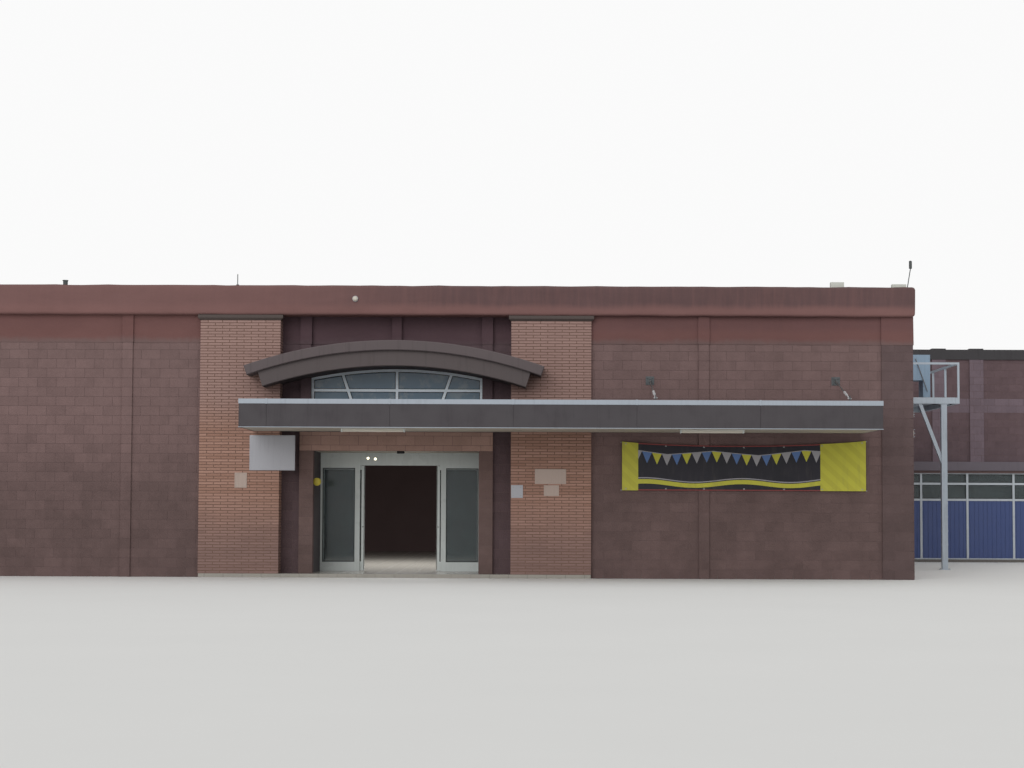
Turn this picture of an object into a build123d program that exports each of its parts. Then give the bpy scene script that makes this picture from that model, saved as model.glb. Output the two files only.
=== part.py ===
from build123d import *
import os
from math import asin, atan2, degrees, hypot, sqrt

os.makedirs("parts", exist_ok=True)

# Supermarket building: a single-storey block hall with a recessed entrance between two brick piers,
# an eyebrow arch over an arched window, a long flat canopy, and a wing set back on the right.
# The origin is on the ground, in the middle of the entrance, in the plane of the sliding doors.
# +X runs to the right along the front, +Y into the building, +Z up.

# Plan of the hall
bay = 4070                       # spacing of the block pilasters
hall_bays = 6
entrance_to_corner = 10900       # from the middle of the entrance to the hall's right corner
hall_depth = 23000
side_bays = 5
wall = 200                       # block wall
floor_thickness = 80
door_setback = 2000              # from the face of the front wall to the sliding doors

# Heights above the ground
parapet_bottom = 5540
parapet_height = 630
roof_underside = 5150
roof_thickness = 120
roof_rise = 230                  # from the eaves to the ridge

# Entrance bay
recess_width = 4900
recess_depth = 350
pier_width = 1680
pier_projection = 100
pier_cap_height = 110
pier_cap_projection = 60
pier_cap_taper = 45             # of the caps' underside
doorway_width = 3530
doorway_head = 2680
surround_width = 290
surround_projection = 100
window_strip = 210
middle_strip = 170

# Block strips and parapet band
strip_width = 210
corner_strip = 620
strip_projection = 40
parapet_overhang_front = 180
parapet_overhang_side = 80
parapet_round = 60

# Eyebrow arch
arch_radius = 9400               # top of the cornice
arch_crown = 4965
cornice_height = 210
cornice_span = 6280
cornice_reach = 750              # in front of the front wall
beam_height = 325
beam_span = 5700
beam_reach = 660
arch_edge = 16                   # chamfer of the float-finished edges

# Arched window
window_width = 3660
window_sill = 3720
window_bar = 55
window_frame_depth = 70
window_glass = 12
window_transom = 3975
slanted_top = 1200               # half distances of the slanted bars from the middle
slanted_foot = 960

# Flat canopy
canopy_left = 3010               # from the middle of the entrance
canopy_right = 9910
canopy_reach = 2300
canopy_bottom = 3080
canopy_height = 560
fascia_thickness = 60
fascia_first = 550               # from the left end to the first joint
fascia_sheet = 2480
fascia_joint = 8
fascia_joint_depth = 4
deck_thickness = 80
flashing_height = 85
flashing_thickness = 12
flashing_lap = 110
flashing_seam = 45               # cover strips at the fascia's joints
flashing_seam_rise = 3
soffit_thickness = 20
light_length = 1300
light_width = 160
light_height = 70
light_tray = 18
light_end = 30                   # end caps
light_rim = 8
light_round = 20
light_places = (-350, 6530)
light_from_front = 420
rod_places = (5380, 9310)
rod_radius = 14
rod_reach = 1900
rod_top = 4180
plate_size = 180
plate_thickness = 14
rod_foot = 120
rod_lug = 90                     # in front of the wall plate
rod_pin_radius = 12
rod_pin_length = 70
turnbuckle_from_foot = 450
turnbuckle_length = 240
turnbuckle_radius = 27

# Porch and glazed screen
porch_wall = 100
porch_behind_doors = 240
screen_depth = 50
side_post = 110
half_doorway = 895               # between the posts, from the middle
jamb_bar = 45
head_bar = 60
kick_rail = 200
screen_head = 2405
pane = 10

# Track box and sliding leaves
header_height = 175
header_depth = 150
header_sheet = 10
rail_top = 2478
rail_thickness = 10
rail_width = 75
leaf_thickness = 40
leaf_behind_screen = 35
leaf_stile = 70
leaf_top_rail = 90
leaf_lap = 70                    # of a closed leaf behind its post
leaf_parking_gap = 10
leaf_floor_gap = 8
leaf_head_gap = 10
meeting_gap = 10
hanger_width = 70
hanger_thickness = 8
roller_radius = 25
roller_width = 20
roller_clearance = 0.3

# Wing on the right, set back
wing_bays = 2
wing_setback = 14800
wing_height = 5980
coping_height = 280
coping_overhang = 60
coping_step = 30
wing_strip = 390
wing_strip_places = (3330, 4390)     # left edges, from the hall's corner
wing_corner_strip = 500
shopfront_left = 420             # from the hall's corner
shopfront_pitch = 1300
shopfront_panes = 5
shopfront_head = 2500
shopfront_sill = 1750
shopfront_transom = 2200
shopfront_bar = 60
shopfront_depth = 80
panel_thickness = 30
panel_rib_pitch = 124
panel_rib_width = 35
panel_rib_depth = 12
lintel_height = 250
lintel_bottom = 2570
lintel_projection = 50

# Steel platform on the right side wall
platform_width = 2580
platform_depth = 4800
platform_from_front = 7450
platform_top = 4240
platform_fascia = 150
channel_width = 70
plate = 12
rail_tube = 50
railing_height = 870
railing_bays = 3
leg_size = 140
leg_inset = 310
leg_from_edge = 20
brace_size = 90
brace_foot = 2600
brace_run = 560
foot_plate_size = 240
foot_plate_thickness = 14
duct_reach = 2160
duct_depth = 600
duct_bottom = 4760
duct_height = 650
duct_leg = 180
duct_from_front = 9000
duct_flange = 30
duct_flange_thickness = 12
duct_seams = 3
duct_seam_pitch = 700
duct_mouth_length = 500
duct_mouth_depth = 40

# Banner, mast and loose blocks
banner_left = 4790
banner_right = 9930
banner_bottom = 1860
banner_top = 2920
banner_thickness = 8
mast_radius = 10
mast_height = 420
mast_lean = 70
mast_head_radius = 32
mast_head_height = 170
mast_from_corner = 60
mast_foot = 56
mast_foot_thickness = 8
block_places = ((9360, 280, 120), (10670, 300, 80))      # middle, width and height
block_depth = 150

# Seams of the roof sheets, and the ridge cap
seam_pitch = 610
seam_width = 50
seam_height = 30
ridge_cap_width = 500

# Small fixtures on the walls and the parapet
lamp_from_corner = 340           # on the right side wall, from the front
lamps = ((3100, 170, 270), (3500, 130, 170))     # middle above the ground, width and height
lamp_body = 45
lamp_lens = 40
lamp_rim = 12
lamp_chamfer = 25
camera_x = -860
camera_z = 5880
camera_base_radius = 63
camera_base = 30
camera_radius = 55
camera_dome = 45
camera_sides = 16
camera_taper = 30                # degrees
sensor_x = 90
sensor_width = 160
sensor_depth = 60
sensor_height = 55
sensor_from_face = 20
sensor_round = 12
parapet_rod_x = -3370
parapet_rod_radius = 9
parapet_rod_height = 240
parapet_rod_foot = 30            # radius
parapet_rod_foot_height = 22
stub_x = -7030
stub_radius = 50
stub_height = 80
stub_cap_radius = 62
stub_cap_height = 20
rods_from_edge = 125

# Places worked out from the sizes above
front = -door_setback
back = front + hall_depth
right_corner = entrance_to_corner
left_corner = right_corner - hall_bays * bay - corner_strip
wing_right = right_corner + wing_bays * bay
wing_front = front + wing_setback
recess_half = recess_width / 2
pier_outer = recess_half + pier_width
pier_front = front - pier_projection
recess_face = front + recess_depth
recess_back = recess_face + wall
door_half = doorway_width / 2
surround_face = recess_face - surround_projection
parapet_top = parapet_bottom + parapet_height
canopy_top = canopy_bottom + canopy_height
canopy_front = front - canopy_reach
wing_wall_top = wing_height - coping_height
pier_cap_bottom = parapet_bottom - pier_cap_height
arch_centre = arch_crown - arch_radius
beam_radius = arch_radius - cornice_height
soffit_radius = beam_radius - beam_height


def block(x0, x1, y0, y1, z0, z1, mode=Mode.ADD):
    """Adds or cuts a plain block between two corners."""
    with Locations(((x0 + x1) / 2, (y0 + y1) / 2, (z0 + z1) / 2)):
        Box(x1 - x0, y1 - y0, z1 - z0, mode=mode)


def segment(outer, inner, half_span):
    """Draws a ring segment of the arch, cut square to the curve at its ends."""
    turn = degrees(asin(half_span / outer))
    with BuildLine() as ring:
        top = CenterArc((0, arch_centre), outer, 90 - turn, 2 * turn)
        bottom = CenterArc((0, arch_centre), inner, 90 - turn, 2 * turn)
        Line(top @ 0, bottom @ 0)
        Line(top @ 1, bottom @ 1)
    make_face(ring.edges())


# Floors
with BuildPart() as floor_slab:
    block(left_corner, right_corner, front, back, 0, floor_thickness)
    block(-pier_outer, pier_outer, pier_front, front, 0, floor_thickness)
floor_slab.part.label = "floor_slab"

with BuildPart() as wing_floor:
    block(right_corner, wing_right, wing_front, back, 0, floor_thickness)
wing_floor.part.label = "wing_floor"

# Walls of the hall, which stand on the slab and carry the parapet
with BuildPart() as front_wall_left:
    block(left_corner, -pier_outer, front, front + wall, floor_thickness, parapet_bottom)
front_wall_left.part.label = "front_wall_left"

with BuildPart() as front_wall_right:
    block(pier_outer, right_corner, front, front + wall, floor_thickness, parapet_bottom)
front_wall_right.part.label = "front_wall_right"

with BuildPart() as side_wall_left:
    block(left_corner, left_corner + wall, front + wall, back - wall, floor_thickness, parapet_bottom)
side_wall_left.part.label = "side_wall_left"

with BuildPart() as side_wall_right:
    block(right_corner - wall, right_corner, front + wall, wing_front, floor_thickness, parapet_bottom)
side_wall_right.part.label = "side_wall_right"

with BuildPart() as back_wall:
    block(left_corner, right_corner - wall, back - wall, back, floor_thickness, parapet_bottom)
back_wall.part.label = "back_wall"

# Recessed entrance wall, with the doorway below and the arched window above
with BuildPart() as entrance_wall_left:
    block(-recess_half, -door_half, recess_face, recess_back, floor_thickness, doorway_head)
entrance_wall_left.part.label = "entrance_wall_left"

with BuildPart() as entrance_wall_right:
    block(door_half, recess_half, recess_face, recess_back, floor_thickness, doorway_head)
entrance_wall_right.part.label = "entrance_wall_right"

window_half = window_width / 2


def window_outline(inset):
    """Draws the arched window's outline, which follows the arch's underside, moved in by a bar's width."""
    half = window_half - inset
    radius = soffit_radius - inset
    spring = arch_centre + sqrt(radius ** 2 - half ** 2)
    foot = window_sill + inset
    with BuildLine() as outline:
        Polyline((-half, spring), (-half, foot), (half, foot), (half, spring))
        ThreePointArc((-half, spring), (0, arch_centre + radius), (half, spring))
    make_face(outline.edges())


with BuildPart() as entrance_wall_over:
    block(-recess_half, recess_half, recess_face, recess_back, doorway_head, parapet_bottom)
    with BuildSketch(Plane.XZ.offset(-recess_back)) as window_hole:
        window_outline(0)
    extrude(amount=wall, mode=Mode.SUBTRACT)
entrance_wall_over.part.label = "entrance_wall_over"

# Brick piers, which carry the parapet on their caps
with BuildPart() as brick_pier_left:
    block(-pier_outer, -recess_half, pier_front, recess_back, floor_thickness, parapet_bottom)
brick_pier_left.part.label = "brick_pier_left"

with BuildPart() as brick_pier_right:
    block(recess_half, pier_outer, pier_front, recess_back, floor_thickness, parapet_bottom)
brick_pier_right.part.label = "brick_pier_right"

with BuildPart() as pier_caps:
    cap_width = pier_width + 2 * pier_cap_projection
    for side in (-1, 1):
        middle = side * (recess_half + pier_width / 2)
        block(middle - cap_width / 2, middle + cap_width / 2, pier_front - pier_cap_projection, front,
              pier_cap_bottom, parapet_bottom)
    underside = pier_caps.edges().group_by(Axis.Z)[0]
    chamfer([edge for edge in underside if edge.center().Y < front], length=pier_cap_taper)
    for pier in (brick_pier_left, brick_pier_right):
        add(pier.part, mode=Mode.SUBTRACT)
pier_caps.part.label = "pier_caps"


def outer_edges(part, sides):
    """Picks the top edges of a parapet band on its outer sides."""
    top = part.edges().group_by(Axis.Z)[-1]
    picks = {
        "front": top.filter_by(Axis.X).sort_by(Axis.Y)[:1],
        "back": top.filter_by(Axis.X).sort_by(Axis.Y)[-1:],
        "left": top.filter_by(Axis.Y).sort_by(Axis.X)[:1],
        "right": top.filter_by(Axis.Y).sort_by(Axis.X)[-1:],
    }
    return [edge for side in sides for edge in picks[side]]


# Parapet band, rounded along its hand-finished top edge and at its corners
with BuildPart() as parapet_front:
    block(left_corner - parapet_overhang_side, right_corner + parapet_overhang_side,
          front - parapet_overhang_front, front + wall, parapet_bottom, parapet_top)
    block(-pier_outer, pier_outer, front + wall, recess_back, parapet_bottom, parapet_top)
    corners = parapet_front.edges().filter_by(Axis.Z).group_by(Axis.Y)[0]
    fillet(corners + outer_edges(parapet_front, ("front", "left", "right")), radius=parapet_round)
parapet_front.part.label = "parapet_front"

with BuildPart() as parapet_left:
    block(left_corner - parapet_overhang_side, left_corner + wall, front + wall, back - wall,
          parapet_bottom, parapet_top)
    fillet(outer_edges(parapet_left, ("left",)), radius=parapet_round)
parapet_left.part.label = "parapet_left"

with BuildPart() as parapet_right:
    block(right_corner - wall, right_corner + parapet_overhang_side, front + wall, wing_front,
          parapet_bottom, parapet_top)
    fillet(outer_edges(parapet_right, ("right",)), radius=parapet_round)
parapet_right.part.label = "parapet_right"

with BuildPart() as parapet_back:
    block(left_corner - parapet_overhang_side, right_corner - wall, back - wall, back + parapet_overhang_side,
          parapet_bottom, parapet_top)
    fillet(outer_edges(parapet_back, ("back",)), radius=parapet_round)
parapet_back.part.label = "parapet_back"

# Block strips on the pilaster grid of the outside walls, wider at the corners
with BuildPart() as wall_pilasters:
    for number in range(hall_bays + 1):
        width = corner_strip if number in (0, hall_bays) else strip_width
        middle = right_corner - corner_strip / 2 - number * bay
        if abs(middle) > pier_outer + width:
            block(middle - width / 2, middle + width / 2, front - strip_projection, front, 0, parapet_bottom)
        block(middle - width / 2, middle + width / 2, back, back + strip_projection, 0, parapet_bottom)
    for number in range(side_bays + 1):
        width = corner_strip if number in (0, side_bays) else strip_width
        middle = front + corner_strip / 2 + number * (hall_depth - corner_strip) / side_bays
        block(left_corner - strip_projection, left_corner, middle - width / 2, middle + width / 2,
              0, parapet_bottom)
        if middle + width / 2 < wing_front:
            block(right_corner, right_corner + strip_projection, middle - width / 2, middle + width / 2,
                  0, parapet_bottom)
wall_pilasters.part.label = "wall_pilasters"

# Eyebrow arch: a deep beam with a thinner cornice above it, which reaches further out
with BuildPart() as arch_beam:
    with BuildSketch(Plane.XZ.offset(-pier_front)) as beam_face:
        segment(beam_radius, soffit_radius, beam_span / 2)
    extrude(amount=beam_reach - pier_projection)
    with BuildSketch(Plane.XZ.offset(-pier_front)) as beam_back:
        segment(beam_radius, soffit_radius, beam_span / 2)
        Rectangle(recess_width, 2 * parapet_top, mode=Mode.INTERSECT)
    extrude(amount=-(recess_face - pier_front))
    curves = arch_beam.edges().group_by(Axis.Y)[0].filter_by(GeomType.CIRCLE)
    chamfer(curves.sort_by(Axis.Z)[0], length=arch_edge)
arch_beam.part.label = "arch_beam"

with BuildPart() as arch_cornice:
    with BuildSketch(Plane.XZ.offset(-pier_front)) as cornice_face:
        segment(arch_radius, beam_radius, cornice_span / 2)
    extrude(amount=cornice_reach - pier_projection)
    with BuildSketch(Plane.XZ.offset(-pier_front)) as cornice_back:
        segment(arch_radius, beam_radius, cornice_span / 2)
        Rectangle(recess_width, 2 * parapet_top, mode=Mode.INTERSECT)
    extrude(amount=-(recess_face - pier_front))
    chamfer(arch_cornice.edges().group_by(Axis.Y)[0], length=arch_edge)
arch_cornice.part.label = "arch_cornice"

# Arched window: frame, middle bar, transom and two slanted bars
frame_front = recess_face + (wall - window_frame_depth) / 2
window_height = soffit_radius + arch_centre - window_sill
with BuildPart() as arch_window_frame:
    with BuildSketch(Plane.XZ.offset(-frame_front - window_frame_depth)) as frame_outline:
        window_outline(0)
    extrude(amount=window_frame_depth)
    with BuildSketch(Plane.XZ.offset(-frame_front - window_frame_depth)) as lights:
        window_outline(window_bar)
        with Locations((0, window_sill)):
            Rectangle(window_bar, 2 * window_height, mode=Mode.SUBTRACT)
        with Locations((0, window_transom)):
            Rectangle(window_width, window_bar, mode=Mode.SUBTRACT)
        for side in (-1, 1):
            foot, head = (side * slanted_foot, window_sill), (side * slanted_top, window_sill + window_height)
            lean = degrees(atan2(head[0] - foot[0], head[1] - foot[1]))
            with Locations(((foot[0] + head[0]) / 2, (foot[1] + head[1]) / 2)):
                Rectangle(window_bar, 2 * hypot(head[0] - foot[0], head[1] - foot[1]), rotation=-lean,
                          mode=Mode.SUBTRACT)
    extrude(amount=window_frame_depth, mode=Mode.SUBTRACT)
arch_window_frame.part.label = "arch_window_frame"

glass_front = frame_front + (window_frame_depth - window_glass) / 2
with BuildPart() as arch_window_glass:
    with BuildSketch(Plane.XZ.offset(-glass_front - window_glass)) as glass_outline:
        window_outline(window_bar)
    extrude(amount=window_glass)
    add(arch_window_frame.part, mode=Mode.SUBTRACT)
arch_window_glass.part.label = "arch_window_glass"

# Canopy: a box of fascia boards with a deck on top, closed below by the soffit
fascia_joints = [-canopy_left + fascia_first + number * fascia_sheet
                 for number in range(int((canopy_right + canopy_left - fascia_first) / fascia_sheet) + 1)]
with BuildPart() as canopy_deck:
    block(-canopy_left, canopy_right, canopy_front, pier_front, canopy_bottom, canopy_top)
    block(-recess_half, recess_half, pier_front, surround_face, canopy_bottom, canopy_top)
    block(pier_outer, canopy_right, pier_front, front, canopy_bottom, canopy_top)
    block(-canopy_left + fascia_thickness, canopy_right - fascia_thickness,
          canopy_front + fascia_thickness, pier_front - fascia_thickness,
          canopy_bottom, canopy_top - deck_thickness, mode=Mode.SUBTRACT)
    for joint in fascia_joints:
        block(joint - fascia_joint / 2, joint + fascia_joint / 2,
              canopy_front, canopy_front + fascia_joint_depth,
              canopy_bottom, canopy_top - flashing_height, mode=Mode.SUBTRACT)
    add(wall_pilasters.part, mode=Mode.SUBTRACT)
canopy_deck.part.label = "canopy_deck"

with BuildPart() as canopy_soffit:
    block(-canopy_left + fascia_thickness, canopy_right - fascia_thickness,
          canopy_front + fascia_thickness, pier_front - fascia_thickness,
          canopy_bottom, canopy_bottom + soffit_thickness)
canopy_soffit.part.label = "canopy_soffit"

with BuildPart() as canopy_flashing:
    block(-canopy_left - flashing_thickness, canopy_right + flashing_thickness,
          canopy_front - flashing_thickness, pier_front,
          canopy_top - flashing_height, canopy_top + flashing_thickness)
    for joint in fascia_joints:
        block(joint - flashing_seam / 2, joint + flashing_seam / 2,
              canopy_front - flashing_thickness - flashing_seam_rise, canopy_front + flashing_lap,
              canopy_top - flashing_height, canopy_top + flashing_thickness + flashing_seam_rise)
    block(-canopy_left + flashing_lap, canopy_right - flashing_lap, canopy_front + flashing_lap, pier_front,
          canopy_top - flashing_height, canopy_top + flashing_thickness, mode=Mode.SUBTRACT)
    block(-canopy_left, canopy_right, canopy_front, pier_front,
          canopy_top - flashing_height, canopy_top, mode=Mode.SUBTRACT)
canopy_flashing.part.label = "canopy_flashing"

# Lights below the canopy: a tray, a long cover with rounded edges and an end cap at each end
light_front = canopy_front + light_from_front
light_back = light_front + light_width
tray_bottom = canopy_bottom - light_tray
light_bottom = canopy_bottom - light_height
with BuildPart() as canopy_lights:
    for place in light_places:
        block(place - light_length / 2 + light_end, place + light_length / 2 - light_end,
              light_front + light_rim, light_back - light_rim, light_bottom, tray_bottom)
    fillet(canopy_lights.edges().filter_by(Axis.X).group_by(Axis.Z)[0], radius=light_round)
    for place in light_places:
        left, right = place - light_length / 2, place + light_length / 2
        block(left, right, light_front, light_back, tray_bottom, canopy_bottom)
        block(left, left + light_end, light_front, light_back, light_bottom, tray_bottom)
        block(right - light_end, right, light_front, light_back, light_bottom, tray_bottom)
canopy_lights.part.label = "canopy_lights"

# Tie rods from the canopy up to plates on the front wall
with BuildPart() as canopy_tie_rods:
    for place in rod_places:
        foot = (place, front - rod_reach, canopy_top + plate_thickness + rod_foot / 2)
        head = (place, front - plate_thickness, rod_top)
        with BuildLine() as run:
            Line(foot, head)
        with BuildSketch(Plane(origin=foot, z_dir=run.line % 0)):
            Circle(rod_radius)
        sweep(path=run.line)
        along = run.line % 0
        with BuildSketch(Plane(origin=Vector(foot) + along * turnbuckle_from_foot, z_dir=along)):
            RegularPolygon(turnbuckle_radius, 6)
        extrude(amount=turnbuckle_length)
        with Locations(Location(foot, (0, 90, 0))):
            Cylinder(rod_pin_radius, rod_pin_length)
        block(place - plate_thickness / 2, place + plate_thickness / 2, front - plate_thickness - rod_lug,
              front - plate_thickness, rod_top - rod_lug / 2, rod_top + rod_lug / 2)
        block(place - plate_size / 2, place + plate_size / 2, front - plate_thickness, front,
              rod_top - plate_size / 2, rod_top + plate_size / 2)
        block(place - rod_foot / 2, place + rod_foot / 2, front - rod_reach - rod_foot / 2,
              front - rod_reach + rod_foot / 2, canopy_top, canopy_top + plate_thickness)
        block(place - plate_thickness / 2, place + plate_thickness / 2, front - rod_reach - rod_foot / 2,
              front - rod_reach + rod_foot / 2, canopy_top, canopy_top + plate_thickness + rod_foot)
canopy_tie_rods.part.label = "canopy_tie_rods"

# Surround of the doorway and the strips beside and above the arched window
with BuildPart() as entrance_surround:
    for side in (-1, 1):
        middle = side * (door_half + surround_width / 2)
        block(middle - surround_width / 2, middle + surround_width / 2, surround_face, recess_face,
              floor_thickness, canopy_bottom)
        middle = side * (window_half + window_strip / 2)
        block(middle - window_strip / 2, middle + window_strip / 2, surround_face, recess_face,
              canopy_top, parapet_bottom)
    block(-door_half, door_half, surround_face, recess_face, doorway_head, canopy_bottom)
    block(-middle_strip / 2, middle_strip / 2, surround_face, recess_face, arch_crown, parapet_bottom)
    add(arch_beam.part, mode=Mode.SUBTRACT)
    add(arch_cornice.part, mode=Mode.SUBTRACT)
entrance_surround.part.label = "entrance_surround"

roof_middle = (left_corner + right_corner) / 2
roof_half = (right_corner - left_corner) / 2 - wall


def gable(half, low, high):
    """Draws both slopes between two heights above the roof's underside, out to a distance from the ridge."""
    ridge = roof_underside + roof_rise
    edge = ridge - roof_rise * half / roof_half
    with BuildLine() as outline:
        Polyline((roof_middle - half, edge + low), (roof_middle, ridge + low),
                 (roof_middle + half, edge + low), (roof_middle + half, edge + high),
                 (roof_middle, ridge + high), (roof_middle - half, edge + high), close=True)
    make_face(outline.edges())


# Roofs: a shallow ridge over the hall, and the wing's flat roof running on from its eaves
with BuildPart() as hall_roof:
    with BuildSketch(Plane.XZ.offset(-back + wall)) as roof_profile:
        gable(roof_half, 0, roof_thickness)
    extrude(amount=hall_depth - 2 * wall)
    block(-pier_outer, pier_outer, front, recess_back, 0, parapet_bottom, mode=Mode.SUBTRACT)
hall_roof.part.label = "hall_roof"

with BuildPart() as wing_roof:
    block(right_corner - wall, wing_right - wall, wing_front + wall, back - wall,
          roof_underside, roof_underside + roof_thickness)
wing_roof.part.label = "wing_roof"

# Seams of the roof sheets, down both slopes and on over the wing, and the cap along the ridge
seams_front = recess_back
seams_back = back - wall
seam_top = roof_thickness + seam_height
with BuildPart() as roof_seams:
    for number in range(int((seams_back - seams_front) / seam_pitch)):
        place = seams_front + (number + 0.5) * seam_pitch
        with BuildSketch(Plane.XZ.offset(-place - seam_width / 2)):
            gable(roof_half, roof_thickness, seam_top)
        extrude(amount=seam_width)
        if place > wing_front + wall + seam_width:
            block(right_corner - wall, wing_right - wall, place - seam_width / 2, place + seam_width / 2,
                  roof_underside + roof_thickness, roof_underside + seam_top)
    with BuildSketch(Plane.XZ.offset(-seams_back)):
        gable(ridge_cap_width / 2, roof_thickness, seam_top)
    extrude(amount=seams_back - seams_front)
roof_seams.part.label = "roof_seams"

# Porch lining and the glazed screen of the sliding doors
with BuildPart() as porch_walls:
    for side in (-1, 1):
        middle = side * (door_half + porch_wall / 2)
        block(middle - porch_wall / 2, middle + porch_wall / 2, recess_back, porch_behind_doors,
              floor_thickness, doorway_head)
porch_walls.part.label = "porch_walls"

with BuildPart() as porch_ceiling:
    block(-door_half - porch_wall, door_half + porch_wall, recess_back, porch_behind_doors,
          doorway_head, doorway_head + porch_wall)
porch_ceiling.part.label = "porch_ceiling"

screen_front = -screen_depth / 2
screen_back = screen_depth / 2
light_outer = door_half - jamb_bar
light_inner = half_doorway + side_post
light_foot = floor_thickness + kick_rail
light_head = screen_head - head_bar

with BuildPart() as entrance_frame:
    block(-door_half, door_half, screen_front, screen_back, floor_thickness, doorway_head)
    block(-half_doorway, half_doorway, screen_front, screen_back, floor_thickness, screen_head,
          mode=Mode.SUBTRACT)
    block(-light_outer, -light_inner, screen_front, screen_back, light_foot, light_head, mode=Mode.SUBTRACT)
    block(light_inner, light_outer, screen_front, screen_back, light_foot, light_head, mode=Mode.SUBTRACT)
entrance_frame.part.label = "entrance_frame"

with BuildPart() as entrance_glass:
    block(-light_outer, -light_inner, -pane / 2, pane / 2, light_foot, light_head)
    block(light_inner, light_outer, -pane / 2, pane / 2, light_foot, light_head)
entrance_glass.part.label = "entrance_glass"

# Track box behind the screen's head, open below, with the rail that the leaves hang from
leaf_front = screen_back + leaf_behind_screen
leaf_middle = leaf_front + leaf_thickness / 2
header_back = screen_back + header_depth
header_top = screen_head + header_height
with BuildPart() as entrance_header:
    block(-door_half, door_half, screen_back, header_back, screen_head, header_top)
    block(-door_half, door_half, screen_back + header_sheet, header_back - header_sheet,
          screen_head, header_top - header_sheet, mode=Mode.SUBTRACT)
    block(-door_half, door_half, header_back - header_sheet - rail_width, header_back - header_sheet,
          rail_top - rail_thickness, rail_top)
entrance_header.part.label = "entrance_header"

# Sliding leaves, shown open: frame with a deep kick rail, and two hangers with rollers on the rail
leaf_outer = door_half - leaf_parking_gap
travel = leaf_outer - half_doorway - leaf_lap
leaf_inner = travel + meeting_gap / 2
leaf_foot = floor_thickness + leaf_floor_gap
leaf_head = screen_head - leaf_head_gap
roller_centre = rail_top + roller_clearance + roller_radius


def leaf_frame(side):
    """Builds a leaf's frame with its hangers, on the left (-1) or the right (1)."""
    near, far = sorted((side * leaf_inner, side * leaf_outer))
    block(near, far, leaf_front, leaf_front + leaf_thickness, leaf_foot, leaf_head)
    block(near + leaf_stile, far - leaf_stile, leaf_front, leaf_front + leaf_thickness,
          leaf_foot + kick_rail, leaf_head - leaf_top_rail, mode=Mode.SUBTRACT)
    for place in (near + leaf_stile + hanger_width / 2, far - leaf_stile - hanger_width / 2):
        block(place - hanger_width / 2, place + hanger_width / 2, leaf_middle - hanger_thickness / 2,
              leaf_middle + hanger_thickness / 2, leaf_head, roller_centre + roller_radius)
        with Locations(Location((place, leaf_middle + (hanger_thickness + roller_width) / 2, roller_centre),
                                (90, 0, 0))):
            Cylinder(roller_radius, roller_width)


def leaf_pane(side):
    """Builds the pane in a leaf's frame."""
    near, far = sorted((side * leaf_inner, side * leaf_outer))
    block(near + leaf_stile, far - leaf_stile, leaf_middle - pane / 2, leaf_middle + pane / 2,
          leaf_foot + kick_rail, leaf_head - leaf_top_rail)


with BuildPart() as door_leaf_left:
    leaf_frame(-1)
door_leaf_left.part.label = "door_leaf_left"

with BuildPart() as door_glass_left:
    leaf_pane(-1)
door_glass_left.part.label = "door_glass_left"

with BuildPart() as door_leaf_right:
    leaf_frame(1)
door_leaf_right.part.label = "door_leaf_right"

with BuildPart() as door_glass_right:
    leaf_pane(1)
door_glass_right.part.label = "door_glass_right"

# Wing: walls, lintel band and coping
opening_left = right_corner + shopfront_left
opening_right = opening_left + shopfront_panes * shopfront_pitch
with BuildPart() as wing_front_wall:
    block(right_corner - wall, wing_right, wing_front, wing_front + wall, floor_thickness, wing_wall_top)
    block(opening_left, opening_right, wing_front, wing_front + wall, floor_thickness, shopfront_head,
          mode=Mode.SUBTRACT)
wing_front_wall.part.label = "wing_front_wall"

with BuildPart() as wing_side_wall:
    block(wing_right - wall, wing_right, wing_front + wall, back - wall, floor_thickness, wing_wall_top)
wing_side_wall.part.label = "wing_side_wall"

with BuildPart() as wing_back_wall:
    block(right_corner - wall, wing_right, back - wall, back, floor_thickness, wing_wall_top)
wing_back_wall.part.label = "wing_back_wall"

with BuildPart() as wing_pilasters:
    for place in wing_strip_places:
        block(right_corner + place, right_corner + place + wing_strip, wing_front - strip_projection,
              wing_front, lintel_bottom + lintel_height, wing_wall_top)
    block(wing_right - wing_corner_strip, wing_right, wing_front - strip_projection, wing_front,
          0, wing_wall_top)
wing_pilasters.part.label = "wing_pilasters"

with BuildPart() as wing_lintel:
    block(right_corner, wing_right - wing_corner_strip, wing_front - lintel_projection, wing_front,
          lintel_bottom, lintel_bottom + lintel_height)
wing_lintel.part.label = "wing_lintel"

with BuildPart() as wing_coping:
    block(right_corner - wall, wing_right + coping_overhang, wing_front - coping_overhang,
          back + coping_overhang, wing_wall_top, wing_height)
    block(right_corner - wall, wing_right - wall, wing_front + wall, back - wall,
          wing_wall_top, wing_height, mode=Mode.SUBTRACT)
    for place in wing_strip_places:
        block(right_corner + place, right_corner + place + wing_strip, wing_front - coping_overhang,
              wing_front + wall, wing_height, wing_height + coping_step)
    add(parapet_right.part, mode=Mode.SUBTRACT)
wing_coping.part.label = "wing_coping"

# Shopfront of the wing: bars, one sheet of glass above and blue panels below
shop_front = wing_front + (wall - shopfront_depth) / 2
shop_back = shop_front + shopfront_depth
with BuildPart() as shopfront_frame:
    block(opening_left, opening_right, shop_front, shop_back, floor_thickness, shopfront_head)
    for number in range(shopfront_panes):
        left = opening_left + number * shopfront_pitch + shopfront_bar / 2
        right = left + shopfront_pitch - shopfront_bar
        rows = ((floor_thickness, shopfront_sill), (shopfront_sill, shopfront_transom),
                (shopfront_transom, shopfront_head))
        for low, high in rows:
            block(left, right, shop_front, shop_back, low + shopfront_bar / 2, high - shopfront_bar / 2,
                  mode=Mode.SUBTRACT)
shopfront_frame.part.label = "shopfront_frame"

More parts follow.
